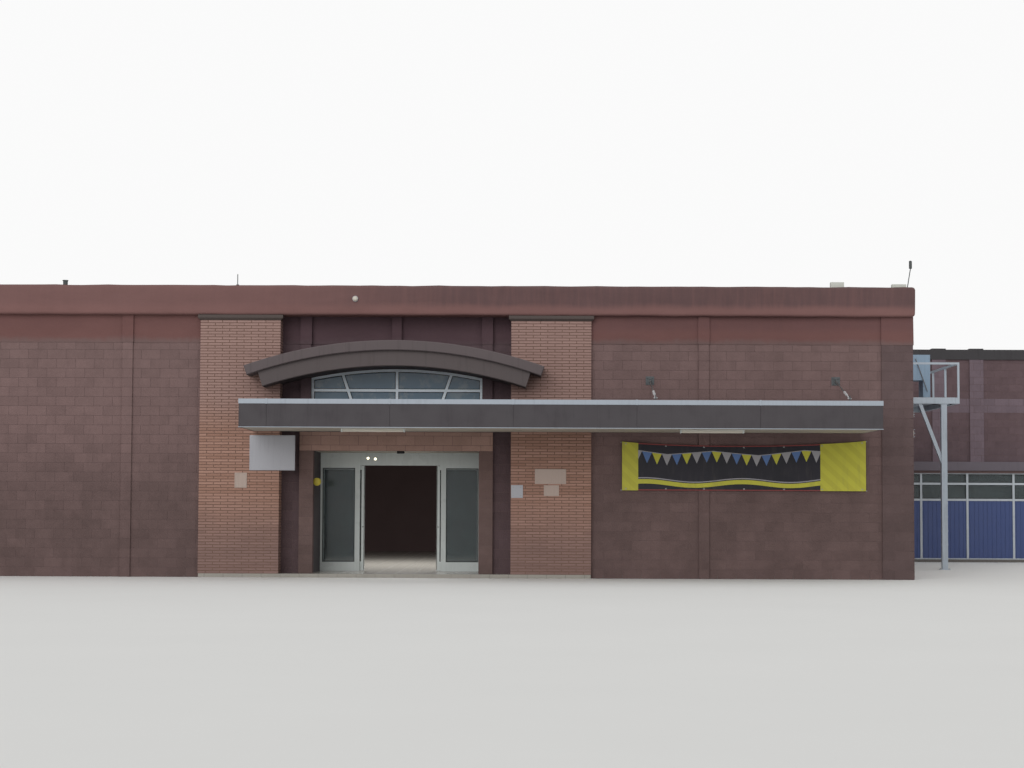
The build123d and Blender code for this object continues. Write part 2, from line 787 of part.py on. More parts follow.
shop_middle = (shop_front + shop_back) / 2
with BuildPart() as shopfront_glass:
    block(opening_left, opening_right, shop_middle - pane / 2, shop_middle + pane / 2,
          shopfront_sill, shopfront_head)
    add(shopfront_frame.part, mode=Mode.SUBTRACT)
shopfront_glass.part.label = "shopfront_glass"

with BuildPart() as shopfront_panels:
    block(opening_left, opening_right, shop_middle - panel_thickness / 2, shop_middle + panel_thickness / 2,
          floor_thickness, shopfront_sill)
    rib_middle = shop_middle - (panel_thickness + panel_rib_depth) / 2
    rib_count = int((shopfront_pitch - shopfront_bar) / panel_rib_pitch)
    for number in range(shopfront_panes):
        pane_middle = opening_left + (number + 0.5) * shopfront_pitch
        with Locations((pane_middle, rib_middle, (floor_thickness + shopfront_sill) / 2)):
            with GridLocations(panel_rib_pitch, 0, rib_count, 1):
                Box(panel_rib_width, panel_rib_depth, shopfront_sill - floor_thickness)
    add(shopfront_frame.part, mode=Mode.SUBTRACT)
shopfront_panels.part.label = "shopfront_panels"

# Steel platform: channel frame with a floor plate, railing, legs with knee braces
platform_front = front + platform_from_front
platform_back = platform_front + platform_depth
platform_right = right_corner + platform_width
platform_under = platform_top - platform_fascia
with BuildPart() as platform_deck:
    block(right_corner, platform_right, platform_front, platform_back, platform_under, platform_top)
    block(right_corner + channel_width, platform_right - channel_width, platform_front + channel_width,
          platform_back - channel_width, platform_under, platform_top - plate, mode=Mode.SUBTRACT)
    add(wall_pilasters.part, mode=Mode.SUBTRACT)
platform_deck.part.label = "platform_deck"

rail_outer = platform_right - rail_tube
railing_top = platform_top + railing_height
railing_step = (platform_depth - rail_tube) / railing_bays
with BuildPart() as platform_railing:
    for number in range(railing_bays + 1):
        start = platform_front + number * railing_step
        block(rail_outer, platform_right, start, start + rail_tube, platform_top, railing_top)
    block(rail_outer, platform_right, platform_front, platform_back, railing_top - rail_tube, railing_top)
    for start in (platform_front, platform_back - rail_tube):
        block(right_corner, platform_right, start, start + rail_tube, railing_top - rail_tube, railing_top)
    add(wall_pilasters.part, mode=Mode.SUBTRACT)
platform_railing.part.label = "platform_railing"

leg_left = platform_right - leg_inset - leg_size
with BuildPart() as platform_legs:
    for start in (platform_front + leg_from_edge, platform_back - leg_from_edge - leg_size):
        block(leg_left, leg_left + leg_size, start, start + leg_size, 0, platform_under)
        middle = start + leg_size / 2
        with Locations((leg_left + leg_size / 2, middle, foot_plate_thickness / 2)):
            Box(foot_plate_size, foot_plate_size, foot_plate_thickness)
        with BuildSketch(Plane.XZ.offset(-middle - brace_size / 2)):
            with BuildLine():
                top = leg_left - brace_run
                rise = brace_size * (platform_under - brace_foot) / brace_run
                Polyline((leg_left, brace_foot), (leg_left, brace_foot + rise),
                         (top + brace_size, platform_under), (top, platform_under), close=True)
            make_face()
        extrude(amount=brace_size)
platform_legs.part.label = "platform_legs"

# Air duct out of the side wall, turned down onto the platform
duct_right = right_corner + duct_reach
duct_front = front + duct_from_front
duct_back = duct_front + duct_depth
with BuildPart() as air_duct:
    block(right_corner, duct_right, duct_front, duct_back, duct_bottom, duct_bottom + duct_height)
    block(duct_right - duct_leg, duct_right, duct_front, duct_back, platform_top, duct_bottom)
    for number in range(duct_seams):
        place = right_corner + number * duct_seam_pitch
        block(place, place + duct_flange_thickness, duct_front - duct_flange, duct_back + duct_flange,
              duct_bottom - duct_flange, duct_bottom + duct_height + duct_flange)
    block(duct_right - duct_leg - duct_flange, duct_right + duct_flange, duct_front - duct_flange,
          duct_back + duct_flange, platform_top, platform_top + duct_flange_thickness)
    mouth_left = right_corner + duct_seam_pitch - duct_mouth_length - duct_flange
    block(mouth_left, mouth_left + duct_mouth_length, duct_front + duct_flange, duct_back - duct_flange,
          duct_bottom, duct_bottom + duct_mouth_depth, mode=Mode.SUBTRACT)
    add(wall_pilasters.part, mode=Mode.SUBTRACT)
air_duct.part.label = "air_duct"

# Banner stretched over the block strip
banner_back = front - strip_projection
with BuildPart() as banner:
    block(banner_left, banner_right, banner_back - banner_thickness, banner_back, banner_bottom, banner_top)
banner.part.label = "banner"

# Small mast and loose blocks on the parapet
mast_x = right_corner + parapet_overhang_side - mast_from_corner - mast_lean
mast_y = front + mast_from_corner
with BuildPart() as corner_mast:
    with BuildLine() as mast_line:
        Line((mast_x, mast_y, parapet_top), (mast_x + mast_lean, mast_y, parapet_top + mast_height))
    with BuildSketch(Plane(origin=(mast_x, mast_y, parapet_top), z_dir=(0, 0, 1))):
        Circle(mast_radius)
    with BuildSketch(Plane(origin=(mast_x + mast_lean, mast_y, parapet_top + mast_height), z_dir=(0, 0, 1))):
        Circle(mast_radius)
    loft()
    with Locations((mast_x + mast_lean, mast_y, parapet_top + mast_height + mast_head_height / 2)):
        Cylinder(mast_head_radius, mast_head_height)
    chamfer(corner_mast.edges().group_by(Axis.Z)[-1], length=mast_head_radius / 2)
    with Locations((mast_x, mast_y, parapet_top + mast_foot_thickness / 2)):
        Box(mast_foot, mast_foot, mast_foot_thickness)
corner_mast.part.label = "corner_mast"

with BuildPart() as parapet_blocks:
    for middle, width, height in block_places:
        block(middle - width / 2, middle + width / 2, front, front + block_depth,
              parapet_top, parapet_top + height)
parapet_blocks.part.label = "parapet_blocks"

rods_y = front - parapet_overhang_front + rods_from_edge
with BuildPart() as parapet_rods:
    with Locations((parapet_rod_x, rods_y, parapet_top)):
        Cylinder(parapet_rod_radius, parapet_rod_height, align=(Align.CENTER, Align.CENTER, Align.MIN))
        Cylinder(parapet_rod_foot, parapet_rod_foot_height, align=(Align.CENTER, Align.CENTER, Align.MIN))
    with Locations((stub_x, rods_y, parapet_top)):
        Cylinder(stub_radius, stub_height, align=(Align.CENTER, Align.CENTER, Align.MIN))
    with Locations((stub_x, rods_y, parapet_top + stub_height)):
        Cylinder(stub_cap_radius, stub_cap_height, align=(Align.CENTER, Align.CENTER, Align.MIN))
parapet_rods.part.label = "parapet_rods"

# Two bulkhead lamps on the right side wall, each a rounded body with a lens
lamp_wall = right_corner + strip_projection
lamp_y = front + lamp_from_corner
with BuildPart() as wall_lamps:
    for middle, width, height in lamps:
        with BuildSketch(Plane.YZ.offset(lamp_wall)):
            with Locations((lamp_y, middle)):
                SlotOverall(height, width, rotation=90)
        extrude(amount=lamp_body)
        with BuildSketch(Plane.YZ.offset(lamp_wall + lamp_body)):
            with Locations((lamp_y, middle)):
                SlotOverall(height - 2 * lamp_rim, width - 2 * lamp_rim, rotation=90)
        extrude(amount=lamp_lens)
    chamfer(wall_lamps.faces().group_by(Axis.X)[-1].edges(), length=lamp_chamfer)
wall_lamps.part.label = "wall_lamps"

# Dome camera on the parapet's face and the sensor under the doorway's head
camera_face = front - parapet_overhang_front
with BuildPart() as dome_camera:
    with BuildSketch(Plane.XZ.offset(-camera_face)):
        with Locations((camera_x, camera_z)):
            RegularPolygon(camera_base_radius, camera_sides)
    extrude(amount=camera_base)
    with BuildSketch(Plane.XZ.offset(camera_base - camera_face)):
        with Locations((camera_x, camera_z)):
            RegularPolygon(camera_radius, camera_sides)
    extrude(amount=camera_dome, taper=camera_taper)
dome_camera.part.label = "dome_camera"

with BuildPart() as door_sensor:
    block(sensor_x - sensor_width / 2, sensor_x + sensor_width / 2, recess_face + sensor_from_face,
          recess_face + sensor_from_face + sensor_depth, doorway_head - sensor_height, doorway_head)
    fillet(door_sensor.edges().group_by(Axis.Z)[0], radius=sensor_round)
door_sensor.part.label = "door_sensor"

pieces = (
    floor_slab, wing_floor, front_wall_left, front_wall_right, side_wall_left, side_wall_right, back_wall,
    entrance_wall_left, entrance_wall_right, entrance_wall_over, entrance_surround, brick_pier_left,
    brick_pier_right, pier_caps, parapet_front, parapet_left, parapet_right, parapet_back, wall_pilasters,
    hall_roof, wing_roof, arch_beam, arch_cornice, arch_window_frame, arch_window_glass, canopy_deck,
    canopy_soffit, canopy_flashing, canopy_lights, canopy_tie_rods, porch_walls, porch_ceiling,
    entrance_frame, entrance_glass, entrance_header, door_leaf_left, door_glass_left, door_leaf_right,
    door_glass_right, wing_front_wall, wing_side_wall, wing_back_wall, wing_pilasters, wing_lintel,
    wing_coping, shopfront_frame, shopfront_glass, shopfront_panels, platform_deck, platform_railing,
    platform_legs, air_duct, banner, corner_mast, parapet_blocks, parapet_rods, roof_seams, wall_lamps,
    dome_camera, door_sensor,
)
for piece in pieces:
    export_step(piece.part, f"parts/{piece.part.label}.step")
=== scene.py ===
import math
import random

import bmesh
import bpy
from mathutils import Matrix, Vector


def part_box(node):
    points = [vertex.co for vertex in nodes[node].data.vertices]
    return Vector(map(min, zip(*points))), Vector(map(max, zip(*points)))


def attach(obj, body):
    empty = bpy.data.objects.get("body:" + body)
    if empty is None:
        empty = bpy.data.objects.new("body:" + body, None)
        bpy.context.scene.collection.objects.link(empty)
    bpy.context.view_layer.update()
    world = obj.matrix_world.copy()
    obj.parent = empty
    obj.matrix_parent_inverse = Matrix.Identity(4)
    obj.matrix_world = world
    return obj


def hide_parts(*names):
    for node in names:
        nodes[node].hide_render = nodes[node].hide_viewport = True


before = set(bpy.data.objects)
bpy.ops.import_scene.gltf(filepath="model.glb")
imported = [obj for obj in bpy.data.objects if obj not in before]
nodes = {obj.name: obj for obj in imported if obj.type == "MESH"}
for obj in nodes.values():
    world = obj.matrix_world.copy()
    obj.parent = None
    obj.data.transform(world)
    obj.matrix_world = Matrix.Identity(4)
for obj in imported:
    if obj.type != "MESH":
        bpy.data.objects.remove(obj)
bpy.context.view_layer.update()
print("frame loaded:", len(nodes), "nodes")


# Mesh tools

def deselectAll():
    bpy.ops.object.select_all(action="DESELECT")


def activate(piece):
    deselectAll()
    piece.select_set(True)
    bpy.context.view_layer.objects.active = piece


def settle(piece):      # puts the piece's place, turn and size into its mesh
    activate(piece)
    bpy.ops.object.transform_apply(location=True, rotation=True, scale=True)
    return piece


def radians(angles):
    return [math.radians(angle) for angle in angles]


def addPrimitive(name, primitive, **options):
    deselectAll()
    primitive(**options)
    bpy.context.object.name = name
    return bpy.context.object


def startCube(name, low, high):
    low, high = Vector(low), Vector(high)
    piece = addPrimitive(name, bpy.ops.mesh.primitive_cube_add, size=1, location=(low + high) / 2)
    piece.scale = high - low
    return settle(piece)


def startCylinder(name, middle, radius, depth, turn=(0, 0, 0), sides=24):
    return settle(addPrimitive(name, bpy.ops.mesh.primitive_cylinder_add, vertices=sides, radius=radius, depth=depth,
                               location=middle, rotation=radians(turn)))


def select(piece, kind, test=lambda part: True):      # enters edit mode with what passes the test selected
    activate(piece)
    bpy.ops.object.mode_set(mode="EDIT")
    bpy.ops.mesh.select_mode(type=kind)
    bpy.ops.mesh.select_all(action="DESELECT")
    shape = bmesh.from_edit_mesh(piece.data)
    for part in {"FACE": shape.faces, "EDGE": shape.edges, "VERT": shape.verts}[kind]:
        if test(part):
            part.select_set(True)
    shape.select_flush_mode()
    bmesh.update_edit_mesh(piece.data)


def leave():
    bpy.ops.object.mode_set(mode="OBJECT")


def edit(piece, kind, operator, test=lambda part: True, **options):      # one operator on what passes the test
    select(piece, kind, test)
    operator(**options)
    leave()
    return piece


def modify(piece, kind, **settings):      # adds a modifier and applies it
    activate(piece)
    modifier = piece.modifiers.new("step", kind)
    for name, value in settings.items():
        setattr(modifier, name, value)
    bpy.ops.object.modifier_apply(modifier="step")
    return piece


def middleOf(edge):
    return (edge.verts[0].co + edge.verts[1].co) / 2


def runOf(edge):
    return edge.verts[1].co - edge.verts[0].co


def bevel(piece, width, segments=1, test=lambda edge: True):
    return edit(piece, "EDGE", bpy.ops.mesh.bevel, test, offset=width, segments=segments)


def softenEnds(piece, axis, width, segments=1):      # bevels the rims of a round piece that runs along an axis
    return bevel(piece, width, segments, lambda edge: abs(runOf(edge)[axis]) < 0.001)


def recess(piece, rim, depth, test=lambda face: face.normal.y < -0.9):      # sinks the front inside a rim
    select(piece, "FACE", test)
    bpy.ops.mesh.inset(thickness=rim)
    bpy.ops.mesh.extrude_region_move(TRANSFORM_OT_translate={"value": (0, depth, 0)})
    leave()
    return piece


def openUp(piece, rim, test=lambda face: True, **options):      # cuts the chosen faces open inside a rim
    select(piece, "FACE", test)
    bpy.ops.mesh.inset(thickness=rim, **options)
    bpy.ops.mesh.delete(type="FACE")
    leave()
    return piece


def cut(piece, point, normal):      # trims away what lies on the normal's side of a plane
    return edit(piece, "FACE", bpy.ops.mesh.bisect, plane_co=point, plane_no=normal, clear_outer=True)


def divide(piece, axis, cuts):      # cuts across the edges that run along an axis
    return edit(piece, "EDGE", bpy.ops.mesh.subdivide,
                lambda edge: abs(runOf(edge)[axis]) > 0.9 * runOf(edge).length, number_cuts=cuts)


def faceOut(piece):
    return edit(piece, "FACE", bpy.ops.mesh.normals_make_consistent, inside=False)


def ruffle(piece, size, depth):      # makes a divided surface slightly uneven, as hand-floated render is
    uneven = bpy.data.textures.get("unevenness") or bpy.data.textures.new("unevenness", "CLOUDS")
    uneven.noise_scale = size
    return modify(piece, "DISPLACE", texture=uneven, texture_coords="LOCAL", strength=depth)


def softBox(name, low, high, edge, segments=1):      # a box with softened edges, corners in any order
    low, high = [map(part, low, high) for part in (min, max)]
    return bevel(startCube(name, list(low), list(high)), edge, segments)


def boxAt(name, middle, size, edge, segments=1):      # a box with softened edges round a middle
    half = Vector(size) / 2
    return softBox(name, Vector(middle) - half, Vector(middle) + half, edge, segments)


def repeat(piece, count, step):
    return modify(piece, "ARRAY", count=count, use_relative_offset=False, use_constant_offset=True,
                  constant_offset_displace=step)


def duplicate(piece):
    activate(piece)
    bpy.ops.object.duplicate()
    return bpy.context.object


def copyTo(piece, shift):
    twin = duplicate(piece)
    twin.location = shift
    return settle(twin)


def join(name, pieces):
    deselectAll()
    for piece in pieces:
        piece.select_set(True)
    bpy.context.view_layer.objects.active = pieces[0]
    if len(pieces) > 1:
        bpy.ops.object.join()
    pieces[0].name = name
    return pieces[0]


def bar(name, start, end, radius, sides=12):      # a round bar between two points
    start, end = Vector(start), Vector(end)
    run = end - start
    turn = [math.degrees(angle) for angle in run.to_track_quat("Z", "Y").to_euler()]
    return startCylinder(name, (start + end) / 2, radius, run.length, turn, sides)


def islands(node):      # lowest and highest corner of each solid of a CAD node
    shape = bmesh.new()
    shape.from_mesh(nodes[node].data)
    bmesh.ops.remove_doubles(shape, verts=shape.verts, dist=1e-4)
    left, found = set(shape.verts), []
    while left:
        corners, reached = [], [left.pop()]
        while reached:
            vert = reached.pop()
            corners.append(vert.co)
            near = {edge.other_vert(vert) for edge in vert.link_edges} & left
            left -= near
            reached.extend(near)
        found.append((Vector(map(min, *corners)), Vector(map(max, *corners))))
    shape.free()
    return sorted(found, key=lambda box: tuple(box[0]))


def coat(piece, finish):
    piece.data.materials.clear()
    piece.data.materials.append(finishes[finish].material)


def complete(piece, finish, body="building", replaces=(), smooth=30):
    activate(piece)
    bpy.ops.object.shade_smooth_by_angle(angle=math.radians(smooth))
    coat(piece, finish)
    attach(piece, body)
    if replaces:
        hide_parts(*replaces)
    return piece


# Shader tools

def tint(red, green, blue):      # a colour as it should render, each part from 0 to 255
    return tuple(((part / 255 + 0.055) / 1.055) ** 2.4 for part in (red, green, blue)) + (1,)


class Wire:      # a socket that takes part in shader maths
    def __init__(self, tree, socket):
        self.tree = tree
        self.socket = socket

    def __add__(self, other):
        return self.tree.math("ADD", self, other)

    def __sub__(self, other):
        return self.tree.math("SUBTRACT", self, other)

    def __rsub__(self, other):
        return self.tree.math("SUBTRACT", other, self)

    def __mul__(self, other):
        return self.tree.math("MULTIPLY", self, other)

    def __truediv__(self, other):
        return self.tree.math("DIVIDE", self, other)

    def __gt__(self, other):
        return self.tree.math("GREATER_THAN", self, other)

    def __lt__(self, other):
        return self.tree.math("LESS_THAN", self, other)

    __radd__ = __add__
    __rmul__ = __mul__


class Tree:      # a node tree with one method that adds any node
    def __init__(self, owner):
        owner.use_nodes = True
        self.nodeTree = owner.node_tree

    def feed(self, socket, value):
        if isinstance(value, Wire):
            self.nodeTree.links.new(value.socket, socket)
        else:
            socket.default_value = value

    def node(self, kind, settings, sockets, output=0):
        made = self.nodeTree.nodes.new(kind)
        for name, value in settings.items():
            if name == "stops":
                ramp = made.color_ramp.elements
                for number, (place, colour) in enumerate(value):
                    stop = ramp[number] if number < 2 else ramp.new(place)
                    stop.position = place
                    stop.color = colour
            else:
                setattr(made, name, value)
        for name, value in sockets.items():
            self.feed(made.inputs[name], value)
        return Wire(self, made.outputs[output])

    def math(self, operation, *values):
        return self.node("ShaderNodeMath", {"operation": operation}, dict(enumerate(values)))


class Finish(Tree):      # a material with its Principled shader
    def __init__(self, name, roughness=0.8, metallic=0.0, gloss=0.3):
        self.material = bpy.data.materials.new(name)
        super().__init__(self.material)
        self.shader = self.nodeTree.nodes["Principled BSDF"]
        self.give("Roughness", roughness)
        self.give("Metallic", metallic)
        self.give("Specular IOR Level", gloss)
        self.spot = self.node("ShaderNodeTexCoord", {}, {}, "Object")

    def give(self, socket, value):
        self.feed(self.shader.inputs[socket], value)

    def along(self, axis):
        return self.node("ShaderNodeSeparateXYZ", {}, {0: self.spot}, axis)

    def noise(self, size, detail=3.0, rough=0.55, stretch=(1, 1, 1)):      # size of the marks in metres
        place = self.node("ShaderNodeMapping", {}, {"Vector": self.spot, "Scale": [s / size for s in stretch]})
        return self.node("ShaderNodeTexNoise", {}, {"Vector": place, "Scale": 1.0, "Detail": detail,
                                                    "Roughness": rough}, "Fac")

    def speck(self, size):      # small cells, 0 at their middles
        place = self.node("ShaderNodeMapping", {}, {"Vector": self.spot, "Scale": [1 / size] * 3})
        return self.node("ShaderNodeTexVoronoi", {}, {"Vector": place, "Scale": 1.0}, "Distance")

    def ease(self, value, low, high, start=0.0, end=1.0):      # start below low, end above high
        return self.node("ShaderNodeMapRange", {"interpolation_type": "SMOOTHSTEP"},
                         {"Value": value, "From Min": low, "From Max": high, "To Min": start, "To Max": end})

    def mix(self, amount, first, second):
        return self.node("ShaderNodeMix", {"data_type": "RGBA"}, {0: amount, 6: first, 7: second}, 2)

    def shade(self, colour, amount):      # darkens or lightens a colour by a factor
        start = colour if isinstance(colour, Wire) else colour[:3]
        return self.node("ShaderNodeVectorMath", {"operation": "SCALE"}, {0: start, "Scale": amount})

    def tone(self):      # the random value that each block, brick or board carries
        return self.node("ShaderNodeAttribute", {"attribute_name": "tone"}, {}, "Fac")

    def surface(self, colour, roughness, height, depth, strength=1.0):      # height: shares of the depth in metres
        self.give("Base Color", colour)
        self.give("Roughness", roughness)
        relief = {"Height": height, "Distance": depth, "Strength": strength}
        self.give("Normal", self.node("ShaderNodeBump", {}, relief, "Normal"))
        return self


# Finishes of the masonry

def makeBlockFinish(name, upper, lower, split, course=None):      # course: two heights and the colour between them
    block = Finish(name, gloss=0.2)
    height = block.along("Z")
    grain = block.noise(0.014, 5, 0.75)
    patches = block.noise(1.3, 5, 0.65)
    blotches = block.noise(0.24, 4, 0.7)
    wash = block.noise(0.3, 3, 0.6, (1, 1, 0.1))
    # painted shade: the walls darken from the upper colour to the lower one towards their foot
    litAboveShadeBelow = block.ease(height + patches * 0.6, split - 1.0, split + 1.2)
    rosy = block.ease(block.noise(0.9, 3, 0.6), 0.42, 0.62)
    colour = block.mix(litAboveShadeBelow, tint(*lower), tint(*upper))
    colour = block.mix(rosy * 0.25, colour, block.shade(tint(*upper), 1.04))
    if course:
        colour = block.mix((height > course[0]) * (height < course[1]), colour, tint(*course[2]))
    change = 0.46 + block.tone() * 0.13 + patches * 0.24 + blotches * 0.38 + wash * 0.16 + grain * 0.18
    return block.surface(block.shade(colour, change), block.ease(grain, 0.3, 0.8, 0.86, 0.98),
                         grain * 0.7 + block.speck(0.022) * 0.6 + blotches * 0.6, 0.006)


def makeMortarFinish(name, *colour):
    mortar = Finish(name, gloss=0.15)
    grain = mortar.noise(0.01, 4, 0.7)
    change = 0.78 + grain * 0.22 + mortar.noise(0.9) * 0.22
    return mortar.surface(mortar.shade(tint(*colour), change), 0.95, grain, 0.003)


def makeBrickFinish(name, *colours):      # colours from the darkest to the lightest brick
    brick = Finish(name, gloss=0.25)
    grain = brick.noise(0.008, 5, 0.7)
    dust = brick.noise(0.7, 4, 0.65, (1, 1, 0.5))
    high = brick.ease(brick.along("Z") + dust * 0.6, 3.2, 4.2)      # paler, greyer bricks above the canopy: painted light out of its shade, with dust and bloom
    stops = [(number / 2, tint(*colour)) for number, colour in enumerate(colours)]
    fired = brick.node("ShaderNodeValToRGB", {"stops": stops}, {"Fac": brick.tone()}, "Color")
    aboveFoot = brick.ease(brick.along("Z") + dust * 0.8, 0.8, 2.4)      # darker and greyer towards the foot
    colour = brick.mix(aboveFoot, brick.mix(0.7, fired, tint(118, 98, 96)), fired)
    # painted light: bricks above the canopy take this greyer colour, those below stay warm as in shade
    colour = brick.mix(high, colour, brick.mix(0.6, fired, tint(152, 128, 125)))
    return brick.surface(brick.shade(colour, 0.82 + grain * 0.2 + dust * 0.18),
                         brick.ease(grain, 0.3, 0.8, 0.78, 0.93), grain, 0.003)


def makeRenderFinish(name, colour, dark, darkFrom, darkSide, foot=None):      # dark stain above a height, on one side
    render = Finish(name, gloss=0.2)
    height = render.along("Z")
    trowel = render.noise(0.5, 4, 0.6, (0.5, 0.5, 1.6))
    grain = render.noise(0.01, 5, 0.7)
    runs = render.noise(0.12, 3, 0.6, (1, 1, 0.12))
    patches = render.noise(1.2, 4, 0.6)
    above = render.ease(height + trowel * 0.18 + runs * 0.05, darkFrom - 0.02, darkFrom + 0.16)
    side = render.ease(render.along("X") + patches * 3, darkSide, darkSide + 6, 0.25, 1.0)
    stain = above * side * render.ease(runs + patches * 0.5, 0.4, 0.95, 0.6, 1.0)
    base = render.mix(stain, tint(*colour), tint(*dark))
    if foot:      # the wall's colour shows through near the lower edge
        worn = render.ease(height + trowel * 0.2 + runs * 0.1, foot[0] + 0.15, foot[0] + 0.3)
        base = render.mix(worn, tint(*foot[1]), base)
    return render.surface(render.shade(base, 0.72 + trowel * 0.24 + patches * 0.24 + grain * 0.1),
                          render.ease(grain, 0.3, 0.8, 0.82, 0.97), trowel * 1.2 + grain * 0.35 + runs * 0.3, 0.012)


def dirty(finish, dirt, colour, share):      # a colour with darker dirt on it
    return finish.mix(dirt, tint(*colour), tint(*[part * share for part in colour]))


def makeSmoothRenderFinish(name, colour, grime=0.25):
    render = Finish(name, gloss=0.25)
    grain = render.noise(0.006, 4, 0.7)
    clouds = render.noise(0.8, 4, 0.6)
    runs = render.noise(0.09, 3, 0.6, (1, 1, 0.08))
    base = dirty(render, render.ease(runs, 0.5, 0.85) * grime, colour, 0.55)
    return render.surface(render.shade(base, 0.86 + clouds * 0.22 + grain * 0.06),
                          render.ease(clouds, 0.3, 0.7, 0.7, 0.85), grain * 0.5 + clouds, 0.003)


# Finishes of metal, glass and the rest

def makePaintFinish(name, colour, rough=0.45, wear=0.3, gloss=0.4):
    paint = Finish(name, gloss=gloss)
    dust = paint.noise(0.35, 4, 0.6)
    runs = paint.noise(0.05, 3, 0.6, (1, 1, 0.07))
    dirt = paint.ease(runs * 0.6 + dust * 0.4, 0.48, 0.72) * wear
    return paint.surface(paint.shade(dirty(paint, dirt, colour, 0.62), 0.92 + dust * 0.14),
                         paint.ease(dust, 0.3, 0.75, rough - 0.08, rough + 0.16), paint.noise(0.004, 2), 0.0004)


def makeRoofFinish(name, clean, dusty, rust):      # streaks down the slopes, and sheets that weathered differently
    roof = Finish(name, gloss=0.4)
    streaks = roof.noise(0.2, 4, 0.6, (0.08, 1, 1))
    patches = roof.noise(2.2, 4, 0.6)
    specks = roof.noise(0.05, 3, 0.7)
    sheets = roof.math("FLOOR", roof.along("Y") / 1.22)
    tone = roof.math("FRACT", roof.math("SINE", sheets * 12.9) * 43.7)
    dust = roof.ease(streaks * 0.4 + patches * 0.6, 0.36, 0.66)
    rusty = roof.ease(streaks * 0.5 + roof.noise(0.7, 4, 0.7) * 0.5, 0.62, 0.7) * 0.25
    base = roof.mix(rusty, roof.mix(dust, tint(*clean), tint(*dusty)), tint(*rust))
    return roof.surface(roof.shade(base, 0.88 + tone * 0.07 + patches * 0.12 + specks * 0.05),
                        roof.ease(dust + specks * 0.3, 0.2, 1.0, 0.42, 0.68), specks, 0.0006)


def makeMetalFinish(name, colour, rough=0.35, metallic=0.9):
    metal = Finish(name, metallic=metallic, gloss=0.5)
    brushed = metal.noise(0.02, 3, 0.6, (0.1, 1, 1))
    spots = metal.noise(0.3, 4, 0.6)
    return metal.surface(metal.shade(tint(*colour), 0.82 + spots * 0.3),
                         metal.ease(brushed * 0.5 + spots * 0.5, 0.3, 0.7, rough - 0.1, rough + 0.2), brushed, 0.0005)


def makeGlassFinish(name, colour, clear, cloudReflection=0.0):
    glass = Finish(name, gloss=0.6)
    film = glass.noise(0.5, 4, 0.6)
    # painted reflection: pale patches of sky mixed into the pane's colour
    clouds = glass.ease(glass.noise(0.45, 5, 0.7), 0.5, 0.66) * cloudReflection
    glass.give("Alpha", glass.ease(film, 0.3, 0.8, 1 - clear, 1 - clear * 0.8))
    return glass.surface(glass.mix(clouds, tint(*colour), tint(138, 150, 156)),
                         glass.ease(film, 0.35, 0.7, 0.03, 0.12), glass.noise(1.6, 1), 0.001, 0.1)


def makeTileFinish(name, colour, groutColour, side, width):
    tile = Finish(name, gloss=0.5)
    toJoint = []
    for axis in "XY":
        place = tile.math("FRACT", tile.along(axis) / side)
        toJoint.append(tile.math("MINIMUM", place, 1 - place) * side)
    grout = tile.ease(tile.math("MINIMUM", *toJoint), width / 2, width, 1.0, 0.0)
    clouds = tile.noise(0.25, 4, 0.6)
    face = tile.shade(tint(*colour), 0.8 + clouds * 0.25 + tile.noise(0.01, 3, 0.7) * 0.1)
    return tile.surface(tile.mix(grout, face, tint(*groutColour)),
                        tile.ease(grout * 0.7 + clouds * 0.3, 0.1, 0.8, 0.22, 0.7), 1 - grout, 0.0015)


def makeLampFinish(name, colour, glow):
    lamp = Finish(name, gloss=0.5)
    lamp.give("Emission Color", tint(*colour))
    lamp.give("Emission Strength", glow)
    return lamp.surface(lamp.shade(tint(*colour), 0.88 + lamp.noise(0.08) * 0.2), 0.3, lamp.noise(0.006, 2), 0.0004)


bannerColours = {"field": (28, 26, 34), "fieldWorn": (40, 38, 46), "red": (134, 60, 60), "yellow": (184, 180, 64),
                 "gold": (162, 154, 56), "white": (150, 148, 152), "sky": (84, 112, 160), "dirt": (90, 84, 78)}
bannerPrint = {"width": 5.14, "height": 1.06, "rightPanel": 0.96, "leftPanel": 0.34, "border": 0.022,
               "pennant": 0.21, "pennantLength": 0.26, "string": 0.93, "swag": 0.96, "sag": 0.1, "cord": 0.008,
               "wave": 0.16, "waveHeight": 0.045, "ribbon": 0.05, "line": 0.012, "stripe": 0.3}


